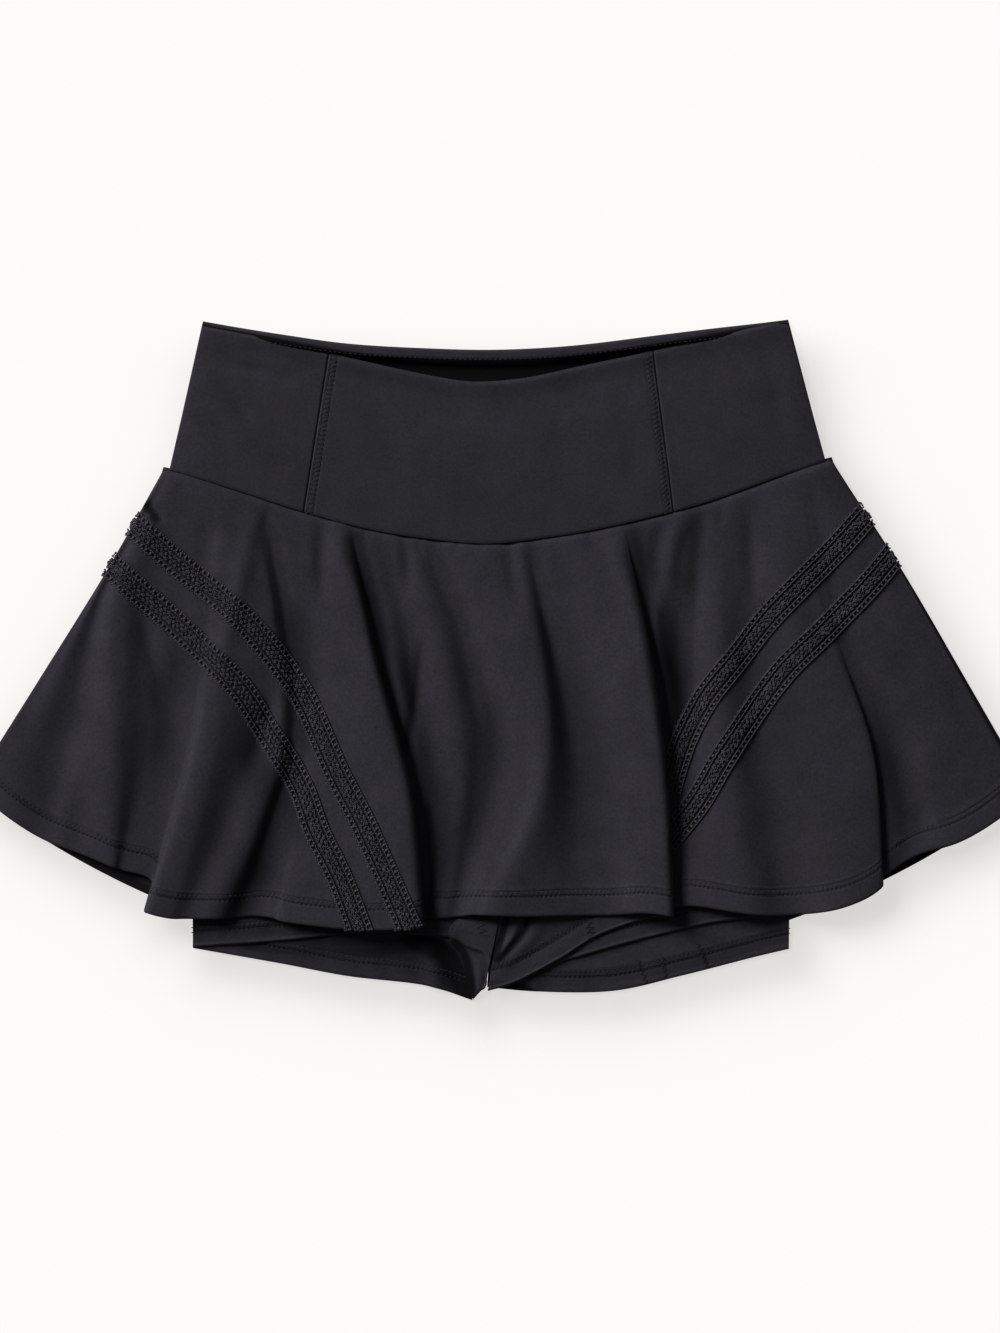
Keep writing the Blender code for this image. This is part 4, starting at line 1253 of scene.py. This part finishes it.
def ribbon(path, surface, across):
    """Places of a ribbon laid on a surface: one row a station, one column a place across it.

    It starts a little past the first point of the path, where it turns down over the side, and
    ends where the fold of the cloth above it begins.
    """
    stations, middle, ahead = stations_along(path)
    sideways = np.stack([-ahead[:, 1], ahead[:, 0]], axis=1)
    places = middle[:, None, :] + sideways[:, None, :] * across[None, :, None]
    places = np.concatenate([places, np.full((*places.shape[:2], 1), np.nan)], axis=-1)
    for j in range(len(across)):
        last = LACE_START_Z
        for i in range(len(stations)):
            start = Vector((*places[i, j, :2], last + LACE_REACH))
            hit = surface.ray_cast(start, DOWN)[0]
            if hit is not None:
                places[i, j, 2] = last = hit.z
    found = ~np.isnan(places[..., 2])
    ending = np.flatnonzero(found.any(axis=1))[-1] + 1
    stations, places, found = stations[:ending], places[:ending], found[:ending]
    for j in range(len(across)):
        known = np.flatnonzero(found[:, j])
        first, final = known[0], known[-1]
        turn_down(places[:, j], first)
        places[final + 1 :, j] = places[final, j]
        rows = np.arange(first, final + 1)
        places[first : final + 1, j, 2] = np.interp(rows, known, places[known, j, 2])
    height = places[..., 2]
    places[..., 2] = blur(np.maximum(height, blur(height, 2)), 1)
    return stations, places


def guide_mesh(name, points, edges=(), **vectors):
    """A bare mesh of points, with vectors or numbers kept at each, that a tree grows yarn on."""
    mesh = bpy.data.meshes.new(name)
    mesh.from_pydata((np.asarray(points) * MM).tolist(), list(edges), [])
    for key, values in vectors.items():
        if np.ndim(values) == 2:
            store(mesh, key, values, "FLOAT_VECTOR", "vector")
        else:
            store(mesh, key, values, "INT")
    return put(name, mesh)


def grown(guide, tree, sizes, material):
    """The plain mesh piece that a tree makes on a guide, which it takes the place of."""
    modifier = guide.modifiers.new("grow", "NODES")
    modifier.node_group = tree
    values = {**sizes, "Material": material}
    for item in tree.interface.items_tree:
        if item.in_out == "INPUT" and item.name in values:
            modifier[item.identifier] = values[item.name]
    depsgraph = bpy.context.evaluated_depsgraph_get()
    mesh = bpy.data.meshes.new_from_object(guide.evaluated_get(depsgraph), depsgraph=depsgraph)
    name = guide.name
    bpy.data.objects.remove(guide, do_unlink=True)
    mesh.name = name
    return put(name, mesh)


class Tree:
    """Geometry Nodes tree in the making: its inputs, and nodes that take values or outputs."""

    def __init__(self, name, inputs):
        self.group = bpy.data.node_groups.new(name, "GeometryNodeTree")
        socket(self.group, "Guide", "NodeSocketGeometry", "INPUT")
        for label, value in inputs.items():
            kind = "NodeSocketInt" if isinstance(value, int) else "NodeSocketFloat"
            socket(self.group, label, kind, "INPUT", value)
        socket(self.group, "Material", "NodeSocketMaterial", "INPUT")
        socket(self.group, "Yarn", "NodeSocketGeometry", "OUTPUT")
        self.inputs = self.group.nodes.new("NodeGroupInput").outputs

    def add(self, kind, settings=None, **values):
        """A node of a kind, its properties set and its inputs, by name or number, given."""
        node = self.group.nodes.new(kind)
        for key, value in (settings or {}).items():
            setattr(node, key, value)
        for key, value in values.items():
            place = int(key[1:]) if key[1:].isdigit() else key.replace("_", " ")
            target = node.inputs[place]
            for each in value if isinstance(value, list) else [value]:
                if isinstance(each, bpy.types.NodeSocket):
                    self.group.links.new(each, target)
                else:
                    target.default_value = each
        return node.outputs

    def named(self, key, kind="FLOAT_VECTOR"):
        """What is kept under a name at each point of the guide."""
        return self.add("GeometryNodeInputNamedAttribute", {"data_type": kind}, Name=key)[0]

    def laid(self, lift, ahead, seed, sway):
        """Rotation that lies on the cloth and points ahead, a little uneven."""
        upright = self.add("FunctionNodeAlignRotationToVector", {"axis": "Z"}, Vector=lift)[0]
        turned = self.add(
            "FunctionNodeAlignRotationToVector", {"axis": "X", "pivot_axis": "Z"},
            Rotation=upright, Vector=ahead,
        )[0]
        chance = self.add(
            "FunctionNodeRandomValue", {"data_type": "FLOAT_VECTOR"},
            _0=(-sway / 3, -sway / 3, -sway), _1=(sway / 3, sway / 3, sway), Seed=seed,
        )[0]
        return self.add(
            "FunctionNodeRotateRotation", {"rotation_space": "LOCAL"},
            Rotation=turned, Rotate_By=chance,
        )[0]

    def sizes(self, size, seed, spread):
        """A size for each, which varies by a share of it."""
        chance = self.add(
            "FunctionNodeRandomValue", {"data_type": "FLOAT_VECTOR"},
            _0=(1 - spread,) * 3, _1=(1 + spread,) * 3, Seed=seed,
        )[0]
        return self.add("ShaderNodeVectorMath", {"operation": "MULTIPLY"}, _0=chance, _1=size)[0]

    def bead(self, rings=4):
        """A small round of yarn, of radius 1."""
        return self.add("GeometryNodeMeshUVSphere", Segments=6, Rings=rings, Radius=1.0)[0]

    def strand(self, line, sides, radius):
        """Yarn of a radius along a line."""
        around = self.add("GeometryNodeCurvePrimitiveCircle", Resolution=sides, Radius=radius)[0]
        return self.add("GeometryNodeCurveToMesh", Curve=line, Profile_Curve=around)[0]

    def placed_only(self, mesh):
        """The mesh without points that have no place, whose numbers don't equal themselves."""
        place = self.add("GeometryNodeInputPosition")[0]
        known = self.add(
            "FunctionNodeCompare", {"data_type": "VECTOR", "operation": "EQUAL"},
            _4=place, _5=place, Epsilon=0.0,
        )[0]
        return self.add("GeometryNodeSeparateGeometry", Geometry=mesh, Selection=known)[0]

    def finish(self, yarn):
        """Joins the parts, makes them real and smooth and gives them their material."""
        joined = self.add("GeometryNodeJoinGeometry", _0=yarn)[0]
        real = self.add("GeometryNodeRealizeInstances", Geometry=joined)[0]
        smooth = self.add("GeometryNodeSetShadeSmooth", Geometry=self.placed_only(real))[0]
        done = self.add("GeometryNodeSetMaterial", Geometry=smooth, Material=self.inputs["Material"])[0]
        out = self.group.nodes.new("NodeGroupOutput")
        self.group.links.new(done, out.inputs[0])
        return self.group


def stitch_tree():
    """Stitches of thread laid one after another along guide lines."""
    tree = Tree("stitch_row", {"Pitch": 0.003, "Length": 0.0022, "Thread": 0.0002, "Seed": 0})
    given = tree.inputs
    line = tree.add("GeometryNodeMeshToCurve", Mesh=given["Guide"])[0]
    spots = tree.add("GeometryNodeCurveToPoints", {"mode": "LENGTH"}, Curve=line, Length=given["Pitch"])
    half = tree.add("ShaderNodeMath", {"operation": "MULTIPLY"}, _0=given["Length"], _1=0.5)[0]
    size = tree.add("ShaderNodeCombineXYZ", X=half, Y=given["Thread"], Z=given["Thread"])[0]
    stitches = tree.add(
        "GeometryNodeInstanceOnPoints", Points=spots[0], Instance=tree.bead(),
        Rotation=tree.laid(tree.named("lift"), spots["Tangent"], given["Seed"], 0.10),
        Scale=tree.sizes(size, given["Seed"], 0.10),
    )[0]
    return tree.finish([stitches])


def lace_tree():
    """Crochet lace on a strip's guide points, told apart by the part that each belongs to."""
    tree = Tree("crochet_lace", {"Yarn": 0.00036, "Knot": 0.00055, "Rosette": 0.0013, "Seed": 0})
    given = tree.inputs
    lift, ahead, part = tree.named("lift"), tree.named("ahead"), tree.named("part", "INT")

    def points_of(number):
        """The guide points of one part."""
        chosen = tree.add(
            "FunctionNodeCompare", {"data_type": "INT", "operation": "EQUAL"}, _2=part, _3=number
        )[0]
        parts = tree.add("GeometryNodeSeparateGeometry", Geometry=given["Guide"], Selection=chosen)
        return parts[0]

    def scaled(vector, size):
        """Lengths along, across and up, as multiples of a size."""
        return tree.add("ShaderNodeVectorMath", {"operation": "SCALE"}, _0=vector, Scale=size)[0]

    def placed(number, shape, size, spread, sway):
        """The shape at each point of a part, uneven in size and turn, by a seed of its own."""
        seed = tree.add(
            "ShaderNodeMath", {"operation": "ADD"}, _0=given["Seed"], _1=float(number)
        )[0]
        return tree.add(
            "GeometryNodeInstanceOnPoints", Points=points_of(number), Instance=shape,
            Rotation=tree.laid(lift, ahead, seed, sway), Scale=tree.sizes(size, seed, spread),
        )[0]

    rails = tree.add("GeometryNodeMeshToCurve", Mesh=points_of(RAIL))[0]
    chain = tree.strand(rails, 6, given["Yarn"])
    rung_size = scaled((2.5, 3.5, 1.1), given["Yarn"])
    rungs = placed(RUNG, tree.bead(), rung_size, spread=0.16, sway=0.16)
    knot_size = scaled((1.15, 0.95, 0.95), given["Knot"])
    knots = placed(KNOT, tree.bead(), knot_size, spread=0.38, sway=0.8)

    petals = tree.add(
        "GeometryNodeInstanceOnPoints",
        Points=tree.add("GeometryNodeMeshCircle", Vertices=5, Radius=0.62)[0],
        Instance=tree.bead(3), Scale=(0.44, 0.44, 0.42),
    )[0]
    heart = tree.add("GeometryNodeTransform", Geometry=tree.bead(), Scale=(0.42, 0.42, 0.56))[0]
    rosette = tree.add("GeometryNodeJoinGeometry", _0=[petals, heart])[0]
    rosette = tree.add("GeometryNodeGeometryToInstance", _0=rosette)[0]
    rosette_size = scaled((1.0, 1.0, 1.0), given["Rosette"])
    rosettes = placed(ROSETTE, rosette, rosette_size, spread=0.34, sway=1.2)

    link_size = scaled((3.4, 1.1, 1.0), given["Yarn"])
    links = placed(LINK, tree.bead(), link_size, spread=0.3, sway=0.9)
    hoop = tree.add("GeometryNodeCurvePrimitiveCircle", Resolution=8, Radius=1.0)[0]
    scallop = tree.add("GeometryNodeGeometryToInstance", _0=tree.strand(hoop, 5, 0.34))[0]
    scallop_size = scaled((3.4, 2.0, 2.0), given["Yarn"])
    scallops = placed(SCALLOP, scallop, scallop_size, spread=0.12, sway=0.2)
    return tree.finish([chain, rungs, knots, rosettes, links, scallops])


def thread_tree():
    """One thread along each guide line."""
    tree = Tree("thread_line", {"Thread": 0.0002})
    line = tree.add("GeometryNodeMeshToCurve", Mesh=tree.inputs["Guide"])[0]
    return tree.finish([tree.strand(line, 5, tree.inputs["Thread"])])


STITCH_ROW = stitch_tree()
THREAD_LINE = thread_tree()
CROCHET_LACE = lace_tree()


def stitches(name, rows, slot):
    """Rows of stitches on points along each row, raised a little above the cloth."""
    points, edges = [], []
    for row in rows:
        start = sum(len(part) for part in points)
        points.append(np.asarray(row) + (0, 0, STITCH_RAISE))
        edges.extend((start + i, start + i + 1) for i in range(len(row) - 1))
    points = np.concatenate(points)
    guide = guide_mesh(name, points, edges, lift=np.tile((0.0, 0.0, 1.0), (len(points), 1)))
    sizes = {
        "Pitch": STITCH_PITCH * MM, "Length": STITCH_LENGTH * MM, "Thread": THREAD_RADIUS * MM,
        "Seed": len(name),
    }
    settle(grown(guide, STITCH_ROW, sizes, THREAD), None)


def evenly(row, count):
    """That many points spread evenly along a row of points."""
    reach = np.concatenate([[0], np.cumsum(np.linalg.norm(np.diff(row, axis=0), axis=1))])
    places = np.linspace(0, reach[-1], count)
    return np.stack([np.interp(places, reach, row[:, k]) for k in range(3)], axis=1)


def loops(name, pairs):
    """Thread that crosses to and fro between the two rows of each pair."""
    points, edges = [], []
    for near, far in pairs:
        start = sum(len(part) for part in points)
        count = int(np.linalg.norm(np.diff(near, axis=0), axis=1).sum() / LOOP_PITCH)
        even = (np.arange(count) % 2 == 0)[:, None]
        points.append(np.where(even, evenly(near, count), evenly(far, count)) + (0, 0, LOOP_LIFT))
        edges.extend((start + i, start + i + 1) for i in range(count - 1))
    guide = guide_mesh(name, np.concatenate(points), edges)
    settle(grown(guide, THREAD_LINE, {"Thread": LOOP_RADIUS * MM}, THREAD), None)


def on_surface(path, grid):
    """Points along a path of x and y, laid on a grid."""
    surface = surface_of(grid)
    flat = through(np.array(path, float), np.linspace(0, len(path) - 1, SEAM_POINTS))
    found = [surface.ray_cast(Vector((x, y, ABOVE_ALL)), DOWN)[0] for x, y in flat]
    return np.array([tuple(point) for point in found if point is not None])


def lace_rows(length):
    """Every row of a strip of lace. Columns: part; places along it; place across; height."""
    holes = np.arange(HOLE_START, length, LACE_PITCH)
    chain = np.arange(HOLE_START, length, LACE_PITCH / 2)
    middles = holes[:-1] + LACE_PITCH / 2
    rail = np.arange(RAIL_START, length, RAIL_STEP)
    swing = RAIL_SWING * np.sin(2 * np.pi * rail / LACE_PITCH)
    sides = (LACE_EDGE, LACE_LADDER, -LACE_LADDER, -LACE_EDGE)
    rows = [(RAIL, rail, aside + swing, 0.5) for aside in sides]
    for way in (1, -1):
        rows.append((RUNG, holes, way * (LACE_EDGE + LACE_LADDER) / 2, 0.5))
        rows.append((KNOT, chain, way * LACE_EDGE, 0.66))
        rows.append((KNOT, chain + LACE_PITCH / 4, way * LACE_LADDER, 0.66))
        rows.append((ROSETTE, middles, way * LACE_INNER_ROSETTES, 0.6))
        rows.append((LINK, holes, way * LACE_INNER_LINKS, 0.45))
    rows.append((ROSETTE, holes, 0.0, 0.7))
    rows.append((LINK, middles, 0.0, 0.5))
    rows.append((SCALLOP, middles, -LACE_EDGE - SCALLOP_OUT, 0.4))
    return rows


def lace_piece(name, path, surface):
    """A strip of lace grown on guide points that are laid on the skirt.

    Past the end of one of the ribbon's lines there is no normal. Points there get no place, and the
    tree leaves them out.
    """
    side = LACE_WIDTH / 2 + LACE_MARGIN
    across = np.linspace(-side, side, LACE_COLUMNS)
    stations, places = ribbon(path, surface, across)
    along = np.gradient(places, axis=0)
    normals = np.cross(along, np.gradient(places, axis=1))
    with np.errstate(invalid="ignore"):
        normals *= np.sign(normals[..., 2:3]) / np.linalg.norm(normals, axis=-1, keepdims=True)
        along /= np.linalg.norm(along, axis=-1, keepdims=True)

    def laid(distance, aside, height):
        """Points that far along, aside and above the strip, and its normals and directions there."""
        i = np.clip(distance / LACE_STATION, 0, len(stations) - 1.001)
        j = np.clip((aside - across[0]) / (across[1] - across[0]), 0, len(across) - 1.001)
        a, b = np.floor(i).astype(int), np.floor(j).astype(int)
        s, t = (i - a)[:, None], (j - b)[:, None]

        def mix(field):
            """The field's value between its four nearest places."""
            near = field[a, b] * (1 - s) + field[a + 1, b] * s
            return near * (1 - t) + (field[a, b + 1] * (1 - s) + field[a + 1, b + 1] * s) * t

        return mix(places) + mix(normals) * height, mix(normals), mix(along)

    rows = lace_rows(stations[-1] - LACE_LAST)
    found = [laid(where, np.broadcast_to(aside, len(where)), up) for _, where, aside, up in rows]
    points, lifts, aheads = (np.concatenate(field) for field in zip(*found))
    parts = np.concatenate([np.full(len(where), part) for part, where, _, _ in rows])
    rail = len(rows[0][1])
    rails = sum(part == RAIL for part, _, _, _ in rows)
    edges = [(k * rail + i, k * rail + i + 1) for k in range(rails) for i in range(rail - 1)]
    guide = guide_mesh(name, points, edges, lift=lifts, ahead=aheads, part=parts)
    sizes = {
        "Yarn": LACE_YARN * MM, "Knot": LACE_KNOT * MM, "Rosette": LACE_ROSETTE * MM,
        "Seed": len(path),
    }
    return grown(guide, CROCHET_LACE, sizes, LACE_COTTON)


def make_lace(grid):
    """The four strips, laid on the skirt front."""
    surface = surface_of(grid)
    for node, path in LACE_PATHS.items():
        settle(lace_piece(f"{node}_lace", path, surface), node)


def make_stitching(front_grid, back_grid, bands, shorts):
    """Double rows on the hems, beside the band's seams and along the legs, with their loops."""
    hem_front = [row_at(front_grid, row, from_hem) for row in HEM_ROWS]
    hem_back = [row_at(back_grid, row, from_hem) for row in HEM_ROWS]
    stitches("skirt_hem_stitches", hem_front + hem_back, "skirt_knit")
    loops("skirt_hem_loops", [hem_front, hem_back])

    turned = bands["waistband_front_center"][1].swapaxes(0, 1)
    right = [row_at(turned, row, from_top)[2:-1] for row in TOPSTITCH_ROWS]
    left = [row_at(turned, row, from_hem)[2:-1] for row in TOPSTITCH_ROWS]
    back = row_at(bands["waistband_back"][1], BACK_STITCH_INSET, from_top)[3:-3]
    stitches("band_stitches", [*right, *left, back], "band_knit")
    loops("band_seam_loops", [right, left])

    pairs = []
    for name, (_, grid) in shorts.items():
        if name == "shorts_front_left_fold":
            pairs.append([row_at(grid, row, from_hem) for row in FOLD_HEM_ROWS])
        elif name != "shorts_gusset":
            pairs.append([row_at(grid, row, from_hem) for row in SHORTS_HEM_ROWS])
    stitches("shorts_hem_stitches", [row for pair in pairs for row in pair], "shorts_knit")
    for name, near, far in SEAM_LOOPS:
        grid = shorts[name][1]
        pairs.append([on_surface(near, grid), on_surface(far, grid)])
    loops("shorts_loops", pairs)


# ---------------------------------------------------------------- stage


def floor_shade(flat, grids):
    """How dim each point of the ground is: darkest past the garment's lower right edges."""
    plan = np.concatenate([grid[:, ::2, :2].reshape(-1, 2) for grid in grids])
    tree = kdtree.KDTree(len(plan))
    for index, (x, y) in enumerate(plan):
        tree.insert((x, y, 0), index)
    tree.balance()
    distance = np.array([tree.find((x, y, 0))[2] for x, y in flat - SHADE_SHIFT])
    return SHADE_DEPTH * np.exp(-distance / SHADE_FADE) * step(*SHADE_TOP, flat[:, 1])


def lay_floor(grids):
    """Pale ground in one sheet, its shade stored at every corner of its squares."""
    near = np.linspace(-FLOOR_HALF, FLOOR_HALF, FLOOR_SQUARES + 1)
    line = np.concatenate([[-FLOOR_FAR], near, [FLOOR_FAR]])
    count = len(line)
    flat = np.stack(np.meshgrid(line, line[::-1], indexing="ij"), axis=-1).reshape(-1, 2)
    points = np.insert(flat, 2, FLOOR_Z, axis=1) * MM
    mesh = bpy.data.meshes.new("floor")
    mesh.from_pydata(points.tolist(), [], grid_faces(count, count).tolist())
    shade = floor_shade(flat, grids).reshape(count, count)
    store(mesh, "shade", blur(blur(shade, 1).T, 1).T)
    mesh.materials.append(floor_material())
    floor = put("floor", mesh)


def floor_material():
    """Paper that glows evenly and dims with the shade stored on it."""
    paper = bpy.data.materials.new("pale_floor")
    paper.use_nodes = True
    nodes, links = paper.node_tree.nodes, paper.node_tree.links
    shader = nodes["Principled BSDF"]
    shader.inputs["Base Color"].default_value = FLOOR_TINT
    shader.inputs["Emission Strength"].default_value = 1.0
    shader.inputs["Roughness"].default_value = 0.9
    shader.inputs["Specular IOR Level"].default_value = 0.1
    stored = nodes.new("ShaderNodeAttribute")
    stored.attribute_name = "shade"
    glow = nodes.new("ShaderNodeMix")
    glow.data_type = "RGBA"
    glow.inputs["A"].default_value = FLOOR_GLOW
    glow.inputs["B"].default_value = (0, 0, 0, 1)
    links.new(stored.outputs["Fac"], glow.inputs["Factor"])
    links.new(glow.outputs["Result"], shader.inputs["Emission Color"])
    return paper


def light_the_scene():
    """One broad light from the upper left, under a dim white sky."""
    world = bpy.data.worlds.new("studio")
    bpy.context.scene.world = world
    world.use_nodes = True
    sky = world.node_tree.nodes["Background"]
    sky.inputs["Color"].default_value = (1, 1, 1, 1)
    sky.inputs["Strength"].default_value = SKY_STRENGTH
    light = bpy.data.lights.new("key", "SUN")
    light.angle = math.radians(SUN_SPREAD)
    light.energy = SUN_STRENGTH
    lamp = put("key", light)
    lamp.rotation_mode = "QUATERNION"
    lamp.rotation_quaternion = (-Vector(SUN_FROM)).to_track_quat("-Z", "Y")


def overhead_camera():
    """Straight above, framed to show 0.6 m by 0.8 m of the surface."""
    data = bpy.data.cameras.new("overhead")
    data.sensor_width = VIEW_SENSOR
    data.lens = VIEW_LENS
    camera = put("overhead", data)
    distance = VIEW_HEIGHT * data.lens / data.sensor_width
    camera.location = (*VIEW_CENTRE, distance + VIEW_CLOTH_Z)
    scene = bpy.context.scene
    scene.camera = camera
    scene.view_settings.view_transform = "Standard"
    scene.view_settings.look = "None"
    scene.view_settings.gamma = VIEW_GAMMA


skirt_front, skirt_front_points = make_skirt_front()
skirt_back, skirt_back_points = make_skirt_back()
bands = make_bands()
shorts = make_shorts()
make_lace(skirt_front_points)
make_stitching(skirt_front_points, skirt_back_points, bands, shorts)
grids = [skirt_front_points, skirt_back_points]
grids += [grid for _, grid in [*bands.values(), *shorts.values()]]
lay_floor(grids)
light_the_scene()
overhead_camera()
